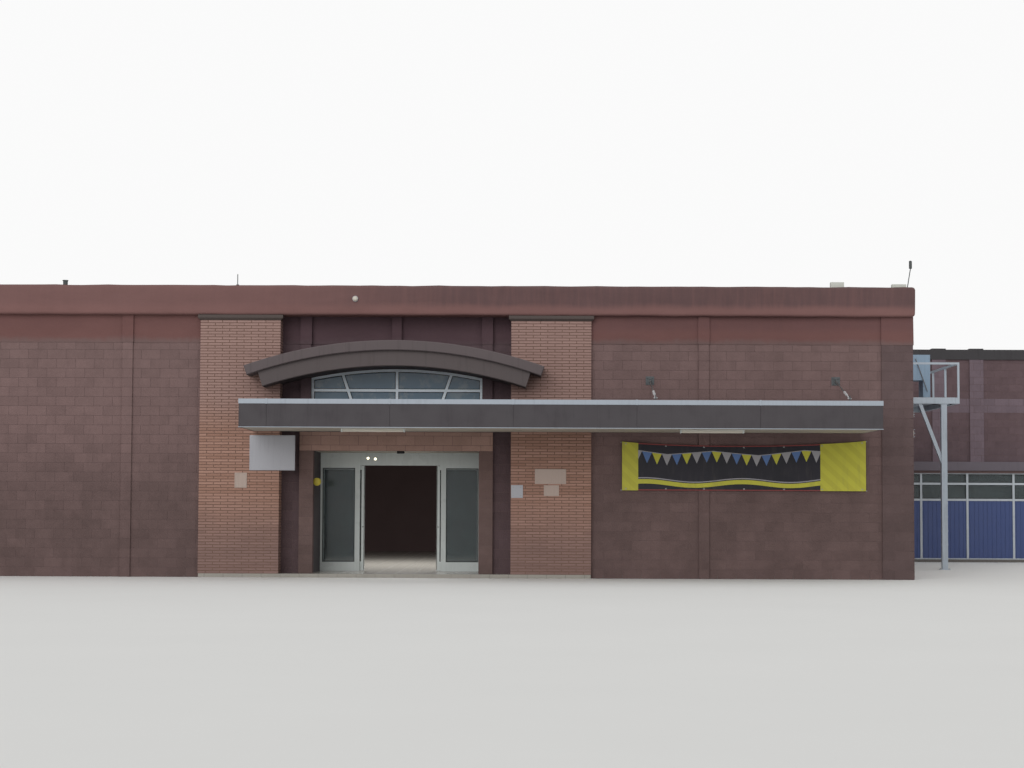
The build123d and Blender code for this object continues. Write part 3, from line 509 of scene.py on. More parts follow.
def makeBannerFinish(name):      # printed vinyl: dark field, red edge, yellow ends, pennants and a band of stripes
    design, colours = bannerPrint, {key: tint(*colour) for key, colour in bannerColours.items()}
    vinyl = Finish(name, gloss=0.25)
    value, mix = vinyl.math, vinyl.mix
    cloth = vinyl.node("ShaderNodeTexCoord", {}, {}, "UV")
    u, v = [vinyl.node("ShaderNodeSeparateXYZ", {}, {0: cloth}, axis) * design[side]
            for axis, side in (("X", "width"), ("Y", "height"))]
    fade = vinyl.noise(0.8, 4, 0.6)
    aside = value("ABSOLUTE", value("FRACT", u / design["pennant"]) - 0.5) * 2      # 0 in a pennant's middle
    string = design["string"] - value("PINGPONG", u / design["swag"], 1.0) * design["sag"]
    drop = (string - v) / design["pennantLength"]      # 0 at the string, 1 at a tip
    turn = value("MODULO", value("FLOOR", u / design["pennant"]), 3.0)
    flag = mix(turn > 1.5, mix(turn > 0.5, colours["yellow"], colours["white"]), colours["sky"])
    wave = design["wave"] + value("SINE", u * 3.1) * design["waveHeight"]
    end = value("MAXIMUM", u > design["width"] - design["rightPanel"], u < design["leftPanel"])
    stripe = value("FRACT", (u + v) / design["stripe"]) < 0.5
    toEdge = value("MINIMUM", value("MINIMUM", u, design["width"] - u), value("MINIMUM", v, design["height"] - v))
    dirt = vinyl.ease(vinyl.noise(0.12, 3, 0.6, (1, 1, 0.15)), 0.5, 0.8) * 0.2
    colour = mix(vinyl.ease(fade, 0.3, 0.7), colours["field"], colours["fieldWorn"])
    for place, paint in (((drop > 0) * (drop < 1 - aside), flag),
                         (value("ABSOLUTE", string - v) < design["cord"], colours["white"]),
                         (value("ABSOLUTE", v - wave) < design["ribbon"], colours["yellow"]),
                         (value("ABSOLUTE", v - wave - 0.08) < design["line"], colours["white"]),
                         (end, mix(stripe * 0.35, colours["yellow"], colours["gold"])),
                         ((toEdge < design["border"]) * (1 - end), colours["red"]),
                         (dirt, colours["dirt"])):
        colour = mix(place, colour, paint)
    return vinyl.surface(vinyl.shade(colour, 0.9 + fade * 0.16), vinyl.ease(fade, 0.3, 0.7, 0.34, 0.5),
                         value("SINE", u * 2600) * value("SINE", v * 2600), 0.0002, 0.5)


recipes = (
    (makeBlockFinish, {      # colour above, darker colour below as painted shade at the foot, the height where they change, and a lighter course
        "roughBlock": ((117, 96, 94), (97, 80, 78), 2.6),
        "cornerBlock": ((98, 82, 82), (90, 75, 74), 3.0),
        "wingBlock": ((99, 82, 85), (90, 77, 82), 3.4, (4.2, 4.6, (112, 98, 105))),
        # painted light: the wing's pilaster strips lighter than its wall, as if they caught the sun
        "wingStripBlock": ((112, 98, 105), (106, 93, 101), 3.3),
        # a lighter, warmer block over the doorway: partly its own colour, partly painted light that lifts the canopy's
        # shade
        "surroundBlock": ((160, 130, 118), (158, 128, 118), 3.0),
        "jambBlock": ((110, 90, 86), (100, 83, 80), 2.0),
        # painted shade: a darker copy of the block for the recess behind the piers, standing for its shade
        "recessBlock": ((94, 78, 82), (90, 74, 76), 3.0)}),
    (makeMortarFinish, {"blockMortar": (104, 87, 86), "brickMortar": (120, 96, 85), "looseBlock": (204, 206, 198)}),
    (makeBrickFinish, {"firedBrick": ((148, 113, 98), (158, 123, 108), (168, 132, 118))}),
    (makeRenderFinish, {      # colour, stain, where the stain starts up and across, and the colour at the foot
        "redRender": ((124, 92, 89), (96, 75, 75), 5.78, -2.0),
        "bandRender": ((112, 80, 77), (106, 77, 76), 5.3, 2.0, (4.95, (114, 93, 91))),
        # painted shade: a darker, cooler copy of the band render for the shaded recess
        "recessRender": ((88, 69, 74), (80, 62, 68), 5.3, 2.0, (4.95, (94, 78, 82)))}),
    (makeSmoothRenderFinish, {      # colour and grime
        "lintelRender": ((104, 97, 104),),
        "archRender": ((93, 85, 85),),
        "cornicePaint": ((97, 88, 89),),
        "capRender": ((84, 75, 72),),
        # painted shade: the wing's coping darkened against the light its top catches
        "copingRender": ((66, 64, 66), 0.4),
        # painted shade: the doorway's reveals darker and greyer, as in the porch's shade
        "porchRender": ((74, 69, 72), 0.2)}),
    (makePaintFinish, {      # colour, roughness, wear and gloss
        "fasciaPaint": ((70, 66, 69), 0.6, 0.2, 0.3),
        "flashingMetal": ((158, 166, 176), 0.35, 0.2, 0.5),
        "soffitBoard": ((166, 158, 146), 0.6, 0.2, 0.3),
        "whiteFrame": ((206, 212, 210), 0.32, 0.12, 0.5),
        # painted light: a brighter, bluer copy of the frame white for the arched window, lifting the shade under the
        # arch
        "windowPaint": ((228, 238, 246), 0.32, 0.1, 0.5),
        "wingFrame": ((180, 186, 192), 0.32, 0.2, 0.5),
        "steelPaint": ((176, 186, 196), 0.4, 0.35, 0.5),
        "ductSheet": ((136, 158, 178), 0.4, 0.4, 0.5),
        "bluePanel": ((54, 72, 122), 0.4, 0.2, 0.5),
        "mastPaint": ((72, 76, 76), 0.5, 0.3),
        # painted light: the bright lower ends of the tie rods
        "rodWhite": ((190, 190, 192), 0.4, 0.1),
        "plateSteel": ((86, 90, 92), 0.5, 0.3),
        "rubberSeal": ((38, 38, 38), 0.7, 0.1, 0.2),
        "signWhite": ((164, 164, 170), 0.4, 0.15),
        "signPink": ((170, 152, 142), 0.5, 0.15),
        "signYellow": ((176, 160, 50), 0.4, 0.1)}),
    (makeRoofFinish, {"roofMetal": ((150, 151, 149), (139, 137, 132), (128, 100, 82))}),
    (makeMetalFinish, {"boltMetal": ((150, 150, 148),), "rodMetal": ((120, 118, 118), 0.5, 0.6)}),
    # painted reflection: the arched window's bluish colour and pale patches stand for the sky it reflects
    (makeGlassFinish, {"clearGlass": ((92, 104, 106), 0.72), "windowGlass": ((102, 126, 144), 0.2, 0.7)}),
    (makeTileFinish, {"floorTile": ((150, 146, 138), (96, 92, 88), 0.4, 0.004)}),
    (makeLampFinish, {"opalCover": ((196, 190, 178), 0.05), "warmLamp": ((255, 244, 214), 2.0)}),
    (makeBannerFinish, {"bannerVinyl": ()}),
)
finishes = {name: make(name, *values) for make, kinds in recipes for name, values in kinds.items()}
print("finishes made")

nodeFinishes = {
    "blockMortar": ("front_wall_left", "front_wall_right", "side_wall_left", "side_wall_right", "back_wall",
                    "entrance_wall_left", "entrance_wall_right", "entrance_wall_over", "entrance_surround",
                    "wall_pilasters", "wing_front_wall", "wing_side_wall", "wing_back_wall", "wing_pilasters"),
    "brickMortar": ("brick_pier_left", "brick_pier_right"),
    "redRender": ("parapet_front", "parapet_left", "parapet_right", "parapet_back"),
    "lintelRender": ("wing_lintel",),
    "capRender": ("pier_caps",),
    "copingRender": ("wing_coping",),
    "archRender": ("arch_beam",),
    "cornicePaint": ("arch_cornice",),
    "fasciaPaint": ("canopy_deck",),
    "flashingMetal": ("canopy_flashing",),
    "soffitBoard": ("canopy_soffit", "porch_ceiling"),
    "opalCover": ("canopy_lights", "wall_lamps", "dome_camera"),
    "rodWhite": ("canopy_tie_rods",),
    "porchRender": ("porch_walls",),
    "windowPaint": ("arch_window_frame",),
    "whiteFrame": ("entrance_frame", "entrance_header", "door_leaf_left", "door_leaf_right"),
    "wingFrame": ("shopfront_frame",),
    "windowGlass": ("arch_window_glass",),
    "clearGlass": ("entrance_glass", "door_glass_left", "door_glass_right", "shopfront_glass"),
    "bluePanel": ("shopfront_panels",),
    "steelPaint": ("platform_deck", "platform_railing", "platform_legs"),
    "ductSheet": ("air_duct",),
    "mastPaint": ("corner_mast", "parapet_rods"),
    "rubberSeal": ("door_sensor",),
    "looseBlock": ("parapet_blocks",),
    "roofMetal": ("hall_roof", "wing_roof", "roof_seams"),
    "floorTile": ("floor_slab", "wing_floor"),
    "bannerVinyl": ("banner",),
}
for finish, names in nodeFinishes.items():
    for name in names:
        coat(nodes[name], finish)


# Brick facing of the piers: two courses are laid, then repeated up the pier

brickwork = {"perCourse": 5.5, "height": 0.0601, "joint": 0.014, "proud": 0.008, "edge": 0.003, "seed": 5}


def shuffleTones(piece, facesEach, seed):      # gives each block, brick or board of a piece its own tone
    draw = random.Random(seed)
    count = len(piece.data.polygons)
    tones = [draw.random() for number in range(count // facesEach + 1)]
    values = piece.data.attributes.new("tone", "FLOAT", "FACE")
    values.data.foreach_set("value", [tones[number // facesEach] for number in range(count)])


def layPierBricks():
    low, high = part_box("brick_pier_right")
    capLow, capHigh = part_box("pier_caps")
    length, height = (high.x - low.x) / brickwork["perCourse"], brickwork["height"]
    half, gap, proud = length / 2, brickwork["joint"] / 2, brickwork["proud"]
    bricks = []
    for course, first, corner in ((0, length, half), (1, half, length)):      # corner: its depth
        cells = [low.x, low.x + first]
        while cells[-1] < high.x - half / 2:
            cells.append(min(cells[-1] + length, high.x))
        boxes = []
        for start, end in zip(cells, cells[1:]):
            inner, outer = start == low.x, end == high.x
            depth = corner if inner else (length + half - corner if outer else half)
            boxes.append((start - proud if inner else start + gap, end + proud if outer else end - gap,
                          low.y - proud, low.y + depth - gap))
        boxes.append((low.x - proud, low.x + half, low.y + corner + gap, low.y + half + length - gap))
        bottom = low.z + course * height
        bricks += [startCube("brick", (x0, y0, bottom + gap), (x1, y1, bottom + height - gap))
                   for x0, x1, y0, y1 in boxes]
    courses = bevel(join("brickworkRight", bricks), brickwork["edge"])
    facesEach = len(courses.data.polygons) // len(bricks)
    repeat(courses, math.ceil((high.z - low.z) / height / 2), (0, 0, 2 * height))
    shuffleTones(courses, facesEach, brickwork["seed"])
    cut(courses, (0, 0, high.z - capHigh.z + capLow.z), (0, 0, 1))
    mirrored = copyTo(courses, (0, 0, 0))
    mirrored.name = "brickworkLeft"
    mirrored.scale.x = -1
    faceOut(settle(mirrored))
    for piece in (courses, mirrored):
        complete(piece, "firedBrick")


layPierBricks()
print("piers faced with brick")


# Block facing of the walls: two courses are laid, then repeated along and up, and trimmed

blockwork = {"length": 0.4, "height": 0.2, "joint": 0.006, "proud": 0.004, "edge": 0.002}
wallTurns = {"front": 0, "right": 90, "back": 180, "left": 270}


def layBlocks(name, side, face, start, end, bottom, top, finish="roughBlock", seed=1):
    length, height, gap = blockwork["length"], blockwork["height"], blockwork["joint"] / 2
    flip = -1 if side in ("back", "left") else 1
    start, end = sorted((flip * start, flip * end))
    columns, rows = math.floor(start / length) - 1, math.floor(bottom / height)
    courses = []
    for row in (rows, rows + 1):
        left = (columns + row % 2 / 2) * length
        block = startCube(name, (left + gap, -blockwork["proud"], row * height + gap),
                          (left + length - gap, 0, (row + 1) * height - gap))
        edit(block, "FACE", bpy.ops.mesh.delete, lambda part: part.normal.y > 0.5, type="FACE")
        courses.append(bevel(block, blockwork["edge"], 1, lambda edge: middleOf(edge).y < -blockwork["proud"] * 0.9))
    facing = join(name, courses)
    facesEach = len(facing.data.polygons) // 2
    repeat(facing, math.ceil(end / length) - columns + 1, (length, 0, 0))
    repeat(facing, math.ceil((top / height - rows) / 2), (0, 0, 2 * height))
    shuffleTones(facing, facesEach, seed)
    for point, normal in (((start, 0, 0), (-1, 0, 0)), ((end, 0, 0), (1, 0, 0)),
                          ((0, 0, bottom), (0, 0, -1)), ((0, 0, top), (0, 0, 1))):
        cut(facing, point, normal)
    facing.rotation_euler.z = math.radians(wallTurns[side])
    facing.location = (0, face, 0) if side in ("front", "back") else (face, 0, 0)
    return complete(settle(facing), finish)


bandBottom, archTop = 4.95, 4.7
hallLeft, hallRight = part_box("front_wall_left")[0].x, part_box("front_wall_right")[1].x
pierInner, pierEdge = [corner.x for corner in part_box("brick_pier_right")]
wallFront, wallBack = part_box("front_wall_left")[0].y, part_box("back_wall")[1].y
recessFace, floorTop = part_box("entrance_wall_over")[0].y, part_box("floor_slab")[1].z
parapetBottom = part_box("parapet_front")[0].z
wingRight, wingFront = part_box("wing_side_wall")[1].x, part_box("wing_front_wall")[0].y
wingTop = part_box("wing_front_wall")[1].z
lintelLow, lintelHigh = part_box("wing_lintel")
openingLow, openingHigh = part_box("shopfront_frame")
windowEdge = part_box("arch_window_frame")[1].x

walls = (      # name, side, face, start and end along it, bottom, top, finish
    ("blocksFrontLeft", "front", wallFront, hallLeft, -pierEdge, 0, bandBottom),
    ("blocksFrontRight", "front", wallFront, pierEdge, hallRight, 0, bandBottom),
    ("blocksLeft", "left", hallLeft, wallFront, wallBack, 0, bandBottom),
    ("blocksRight", "right", hallRight, wallFront, wingFront, 0, bandBottom),
    ("blocksBack", "back", wallBack, hallLeft, hallRight, 0, bandBottom),
    ("blocksRecessLeft", "front", recessFace, -pierInner, -windowEdge, floorTop, parapetBottom, "recessBlock"),
    ("blocksRecessRight", "front", recessFace, windowEdge, pierInner, floorTop, parapetBottom, "recessBlock"),
    ("blocksRecessOver", "front", recessFace, -windowEdge, windowEdge, archTop, parapetBottom, "recessBlock"),
    ("blocksWingOver", "front", wingFront, hallRight, wingRight, lintelHigh.z, wingTop, "wingBlock"),
    ("blocksWingStart", "front", wingFront, hallRight, openingLow.x, 0, lintelLow.z, "wingBlock"),
    ("blocksWingEnd", "front", wingFront, openingHigh.x, lintelHigh.x, 0, lintelLow.z, "wingBlock"),
    ("blocksWingSide", "right", wingRight, wingFront, wallBack, 0, wingTop, "wingBlock"),
    ("blocksWingBack", "back", wallBack, hallRight, wingRight, 0, wingTop, "wingBlock"),
)
for number, wall in enumerate(walls):
    layBlocks(*wall, seed=11 + number)
print("walls faced with block")


# Strips and corners of the walls: stacked blocks, and blocks that turn the corner at every other course

def stackUp(name, course, bottom, rise, finish, seed, top):      # repeats one or two courses up to a height
    facesEach = len(course[0].data.polygons)
    stack = join(name, course)
    repeat(stack, math.ceil((top - bottom) / rise), (0, 0, rise))
    shuffleTones(stack, facesEach, seed)
    cut(stack, (0, 0, top), (0, 0, 1))
    return complete(stack, finish)


def layStrip(name, low, high, bottom, top, finish, seed):
    proud, gap, height = blockwork["proud"], blockwork["joint"] / 2, blockwork["height"]
    block = softBox(name, (low.x - proud, low.y - proud, bottom + gap),
                    (high.x + proud, high.y + proud, bottom + height - gap), blockwork["edge"])
    return stackUp(name, [block], bottom, height, finish, seed, top)


def layCorner(name, x, y, inX, inY, width, finish, seed):      # inX and inY point into the building, 1 or -1
    proud, height, length = (blockwork[key] for key in ("proud", "height", "length"))
    gap, blocks = blockwork["joint"] / 2, []
    for course, (along, across) in enumerate(((length, length / 2), (length / 2, length))):
        low, high = course * height + gap, (course + 1) * height - gap
        for x0, x1, y0, y1 in ((-proud, along - gap, -proud, across - gap),
                               (along + gap, width + proud, -proud, length / 8),
                               (-proud, length / 8, across + gap, width + proud)):
            blocks.append(softBox(name, (x + inX * x0, y + inY * y0, low), (x + inX * x1, y + inY * y1, high),
                                  blockwork["edge"]))
    return stackUp(name, blocks, 0, 2 * height, finish, seed, bandBottom)


sideLow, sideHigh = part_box("side_wall_left")
wallThickness = sideHigh.x - sideLow.x
strips = islands("wall_pilasters")
outerLow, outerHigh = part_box("wall_pilasters")
cornerWidth = strips[0][1].x - strips[0][0].x
surroundLow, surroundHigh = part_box("entrance_surround")
doorHalf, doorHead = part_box("entrance_wall_right")[0].x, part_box("entrance_wall_right")[1].z
canopyLow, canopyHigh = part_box("canopy_deck")
for number, (low, high) in enumerate(strips):
    if max(high.x - low.x, high.y - low.y) < 1.5 * wallThickness:
        layStrip("strip" + str(number), low, high, 0, bandBottom, "roughBlock", 30 + number)
layCorner("cornerFrontLeft", outerLow.x, outerLow.y, 1, 1, cornerWidth, "roughBlock", 51)
layCorner("cornerFrontRight", outerHigh.x, outerLow.y, -1, 1, cornerWidth, "cornerBlock", 52)
layCorner("cornerBackLeft", outerLow.x, outerHigh.y, 1, -1, cornerWidth, "roughBlock", 53)
layBlocks("cornerBackRight", "back", outerHigh.y, hallRight - cornerWidth, hallRight, 0, bandBottom, seed=54)
for number, (low, high) in enumerate(islands("wing_pilasters")):
    layBlocks("wingStrip" + str(number), "front", low.y, low.x, high.x, max(low.z, lintelHigh.z), wingTop,
              "wingStripBlock", 60 + number)
layBlocks("surroundOver", "front", surroundLow.y, surroundLow.x, surroundHigh.x, doorHead, canopyLow.z,
          "surroundBlock", 70)
for number, (left, right) in enumerate(((-surroundHigh.x, -doorHalf), (doorHalf, surroundHigh.x))):
    layStrip("surroundJamb" + str(number), Vector((left, surroundLow.y, 0)), Vector((right, surroundHigh.y, 0)),
             floorTop, doorHead, "jambBlock", 71 + number)
for number, (low, high) in enumerate(islands("entrance_surround")):
    if low.z > canopyLow.z:
        layStrip("windowStrip" + str(number), low, high, low.z, high.z, "recessBlock", 73 + number)
print("strips, corners and surround faced")


# Rendered band at the head of the walls and the parapet above it

renderWork = {"bandProud": 0.014, "bandCell": 0.16, "bandWave": 0.022, "parapetCell": 0.28, "parapetRound": 0.06,
              "parapetWave": 0.034, "waveSize": 0.55}


def layBand(low, high, along):      # along: 0 for a run along x, 1 for one along y
    proud = renderWork["bandProud"]
    band = startCube("wallBand", (low[0] - proud, low[1] - proud, bandBottom),
                     (high[0] + proud, high[1] + proud, parapetBottom + proud))
    divide(band, along, max(2, int((high[along] - low[along]) / renderWork["bandCell"])))
    divide(band, 2, 4)
    bevel(band, proud / 2, 2, lambda edge: middleOf(edge).z < bandBottom + proud and abs(runOf(edge).z) < proud)
    return ruffle(band, renderWork["waveSize"], renderWork["bandWave"])


def layBands():
    depth = wallThickness / 4
    runs = [((hallLeft, wallFront), (-pierEdge, wallFront + depth), 0),
            ((pierEdge, wallFront), (hallRight, wallFront + depth), 0),
            ((hallLeft, wallFront), (hallLeft + depth, wallBack), 1),
            ((hallRight - depth, wallFront), (hallRight, wingFront), 1),
            ((hallLeft, wallBack - depth), (hallRight, wallBack), 0)]
    for low, high in strips:
        if high.y - low.y > 2 * wallThickness:      # a corner: one run on each of its outer faces
            faceX = low.x if low.x < 0 else high.x - depth
            faceY = low.y if low.y < 0 else high.y - depth
            runs += [((low.x, faceY), (high.x, faceY + depth), 0), ((faceX, low.y), (faceX + depth, high.y), 1)]
        else:
            runs.append((low, high, 0))
    complete(join("wallBand", [layBand(*run) for run in runs]), "bandRender")
    runs = [((-pierInner, recessFace), (pierInner, recessFace + depth), 0)]
    runs += [(low, high, 0) for low, high in islands("entrance_surround")
             if low.z > canopyLow.z and high.z > bandBottom + depth]
    complete(join("recessBand", [layBand(*run) for run in runs]), "recessRender")


def layParapet():
    low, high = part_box("parapet_front")
    inner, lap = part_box("parapet_left")[0].y, renderWork["parapetRound"]
    runs = [(low, (high.x, inner, high.z), ((0, -1), (-1, 0), (1, 0)), 0),      # corners, outer sides, direction
            ((-pierEdge, inner - lap, low.z), (pierEdge, high.y, high.z), (), 0)]
    for node, sides, along in (("parapet_left", ((-1, 0),), 1), ("parapet_right", ((1, 0),), 1),
                               ("parapet_back", ((0, 1), (-1, 0)), 0)):
        start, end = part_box(node)
        start.y, end.y = start.y - lap * along, end.y + lap * along
        runs.append((start, end, sides, along))
    walls = []
    for start, end, sides, along in runs:

        def outer(edge):
            faces = [face.normal for face in edge.link_faces]
            return faces[0].dot(faces[1]) < 0.5 and all(
                abs(face.z) > 0.5 or any(face.x * x + face.y * y > 0.5 for x, y in sides) for face in faces)

        wall = startCube("parapet", start, end)
        divide(wall, along, int((end[along] - start[along]) / renderWork["parapetCell"]))
        divide(wall, 2, 3)
        bevel(wall, renderWork["parapetRound"], 4, outer)
        walls.append(ruffle(wall, renderWork["waveSize"], renderWork["parapetWave"]))
    complete(join("parapetWalls", walls), "redRender",
             replaces=("parapet_front", "parapet_left", "parapet_right", "parapet_back"), smooth=40)


layBands()
layParapet()
print("band and parapet rendered")


# Roofs: ribbed sheets, a ridge cap, and gutters behind the parapets

roofing = {"cover": 0.305, "ribWidth": 0.05, "ribHeight": 0.03, "ribTop": 0.55, "sheet": 0.008, "ridge": 0.5,
           "ridgeGap": 0.004, "ridgeRise": 0.02, "gutter": 0.3, "gutterHeight": 0.045, "gutterEdge": 0.004,
           "apron": 0.16, "apronSheet": 0.012, "apronEdge": 0.003}


def laySheets(name, low, high, top):      # sheets side by side along y, their ribs along x
    cover = roofing["cover"]
    start = low[1] - cover / 2
    sheet = startCube(name, (low[0], start, top), (high[0], start + cover, top + roofing["sheet"]))
    ribStart, ribEnd = low[1] - roofing["ribWidth"] / 2, low[1] + roofing["ribWidth"] / 2
    for place in (ribStart, ribEnd):
        edit(sheet, "FACE", bpy.ops.mesh.bisect, plane_co=(0, place, 0), plane_no=(0, 1, 0))
    select(sheet, "FACE", lambda face: face.normal.z > 0.5 and ribStart < face.calc_center_median().y < ribEnd)
    bpy.ops.mesh.extrude_region_move(TRANSFORM_OT_translate={"value": (0, 0, roofing["ribHeight"])})
    bpy.ops.transform.resize(value=(1, roofing["ribTop"], 1))
    leave()
    repeat(sheet, math.ceil((high[1] - low[1]) / cover) + 1, (0, cover, 0))
    cut(sheet, (0, high[1], 0), (0, 1, 0))
    cut(sheet, (0, low[1], 0), (0, -1, 0))
    return sheet


def layRoofs():
    low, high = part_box("hall_roof")
    wingLow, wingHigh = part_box("wing_roof")
    ridge, front = (low.x + high.x) / 2, recessFace + wallThickness
    half, tall, eaves = high.x - ridge, roofing["gutterHeight"], low.z + wingHigh.z - wingLow.z
    slopes, gutters, edge = [], [], roofing["gutterEdge"]
    for side in (-1, 1):
        slope = laySheets("hallRoof", (0, front), (half, high.y), 0)
        head = softBox("headFlashing", (pierEdge - side * ridge, low.y, 0), (half, front, tall), edge)
        trough = softBox("gutter", (half - roofing["gutter"], front, 0), (half, high.y, tall), edge)
        for piece in (slope, head, trough):
            piece.rotation_euler.y = math.atan2(high.z - eaves, half)
            piece.location = (ridge, 0, high.z)
            settle(piece)
            if side < 0:
                piece.location.x, piece.scale.x = 2 * ridge, -1
                faceOut(settle(piece))
        slopes.append(slope)
        gutters += [head, trough]
    reach, bottom = roofing["ridge"] / 2, high.z + roofing["ribHeight"] + roofing["ridgeGap"]
    cap = startCube("ridgeCap", (ridge - reach, front, bottom), (ridge + reach, high.y, bottom + roofing["sheet"]))
    edit(divide(cap, 0, 1), "VERT", bpy.ops.transform.translate, lambda vert: abs(vert.co.x - ridge) < 0.01,
         value=(0, 0, roofing["ridgeRise"]))
    complete(join("hallRoofSheets", slopes + [cap]), "roofMetal", replaces=("roof_seams",))
    complete(laySheets("wingRoofSheets", wingLow, wingHigh, wingHigh.z), "roofMetal",
             replaces=("roof_seams",))
    sheet = roofing["apronSheet"]
    for x0, x1, y0 in ((low.x, low.x + sheet, front), (high.x - sheet, high.x, front),
                       (low.x, high.x, high.y - sheet)):
        gutters.append(softBox("apron", (x0, y0, eaves), (x1, high.y, parapetBottom + roofing["apron"]),
                               roofing["apronEdge"]))
    complete(join("roofGutters", gutters), "flashingMetal")


layRoofs()
print("roofs laid")


# Small hardware that several pieces share

def makeBolt(radius):      # a hexagon head on its washer, pointing up z
    parts = [startCylinder("bolt", (0, 0, radius * height), radius * wide, radius * deep, sides=sides)
             for height, wide, deep, sides in ((0.15, 1.5, 0.3, 16), (0.65, 1, 0.7, 6), (1.1, 0.5, 0.3, 10))]
    bevel(parts[0], radius * 0.08)
    return join("bolt", parts)


def fasten(name, places, radius, turn=(0, 0, 0), finish="boltMetal"):      # a bolt at each place
    first = makeBolt(radius)
    first.rotation_euler = radians(turn)
    settle(first)
    bolts = [copyTo(first, place) for place in places]
    bpy.data.objects.remove(first)
    return complete(join(name, bolts), finish)


def addGasket(name, node, body="building"):      # a seal round each pane of a node, on its front
    sealAndShadowStrip = duplicate(nodes[node])
    sealAndShadowStrip.name = name
    select(sealAndShadowStrip, "VERT")
    bpy.ops.mesh.remove_doubles(threshold=0.0001)
    bpy.ops.mesh.dissolve_limited(angle_limit=math.radians(1))
    leave()
    edit(sealAndShadowStrip, "FACE", bpy.ops.mesh.delete, lambda face: face.normal.y > -0.9, type="FACE")
    openUp(sealAndShadowStrip, doorWork["gasket"], use_individual=True)
    modify(sealAndShadowStrip, "SOLIDIFY", thickness=doorWork["gasketDepth"], offset=1)
    return complete(sealAndShadowStrip, "rubberSeal", body)


# Canopy: fascia sheets, laps of the flashing, soffit boards, lamp covers, and the rods' fittings

canopyWork = {"jointFrom": 0.02, "jointPitch": 2.48, "sheetProud": 0.006, "sheetGap": 0.005, "sheetLift": 0.004,
              "lapWidth": 0.045, "lapProud": 0.003, "lapReach": 0.11, "dripHeight": 0.014, "boardWidth": 0.16,
              "boardGap": 0.006, "boardDrop": 0.008, "coverEnd": 0.03, "coverRound": 0.025, "endProud": 0.004}


def dressCanopy():
    work, low, high = canopyWork, canopyLow, canopyHigh
    proud, gap, rise, lift = work["sheetProud"], work["sheetGap"] / 2, work["lapProud"], work["sheetLift"]
    flashLow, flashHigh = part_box("canopy_flashing")
    soffitLow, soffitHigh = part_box("canopy_soffit")
    joints = [work["jointFrom"] + work["jointPitch"] * number for number in range(-1, 4)]
    edges, sideEdges = [low.x] + joints + [high.x], [low.y - proud, (low.y + flashHigh.y) / 2, flashHigh.y]
    places = [(start + gap, low.y - proud, end - gap, low.y + proud) for start, end in zip(edges, edges[1:])]
    places += [(x - proud, start + gap, x + proud, end - gap) for x in (low.x, high.x)
               for start, end in zip(sideEdges, sideEdges[1:])]
    sheets = [softBox("sheet", (x0, y0, low.z + lift), (x1, y1, flashLow.z + proud), 0.002)
              for x0, y0, x1, y1 in places]
    complete(join("fasciaSheets", sheets), "fasciaPaint")
    half = work["lapWidth"] / 2
    laps = [softBox("lap", (place - half, flashLow.y - rise, flashLow.z - rise),
                    (place + half, flashLow.y + work["lapReach"], flashHigh.z + rise), 0.001) for place in joints]
    laps.append(softBox("drip", (low.x - proud * 2, low.y - proud * 2, low.z - lift),
                        (high.x + proud * 2, low.y + 0.01, low.z - lift + work["dripHeight"]), 0.002))
    complete(join("flashingLaps", laps), "flashingMetal")
    width, drop = work["boardWidth"], work["boardDrop"]
    board = softBox("soffitBoards", (soffitLow.x, soffitLow.y + work["boardGap"], soffitLow.z - drop),
                    (soffitHigh.x, soffitLow.y + width, soffitLow.z + drop), 0.004, 2)
    facesEach = len(board.data.polygons)
    repeat(board, int((soffitHigh.y - soffitLow.y) / width), (0, width, 0))
    shuffleTones(board, facesEach, 81)
    complete(board, "soffitBoard")
    covers, ends, inset, out = [], [], work["coverEnd"], work["endProud"]
    for start, end in islands("canopy_lights"):
        covers.append(softBox("cover", (start.x + inset, start.y, start.z), (end.x - inset, end.y, end.z),
                              work["coverRound"], 5))
        for x0, x1 in ((start.x, start.x + inset + 0.005), (end.x - inset - 0.005, end.x)):
            ends.append(softBox("end", (x0, start.y - out, start.z - out), (x1, end.y + out, end.z), 0.012, 3))
        ends.append(softBox("tray", (start.x, start.y - 0.006, end.z - 0.016), (end.x, end.y + 0.006, end.z), 0.003))
    complete(join("lampCovers", covers), "opalCover", replaces=("canopy_lights",))
    complete(join("lampBodies", ends), "whiteFrame")


rodWork = {"rod": 0.014, "plate": 0.014, "foot": 0.06, "lug": 0.09, "barrel": 0.026, "nut": 0.03, "fork": 0.024,
           "pin": 0.012, "pinReach": 0.04, "barrelFrom": 0.45, "barrelLength": 0.22, "bolt": 0.014, "boltIn": 0.035,
           "footBolt": 0.008, "footBoltOut": 0.04, "forkLength": 0.09, "forkFromHead": 0.01, "forkFromFoot": 0.02}


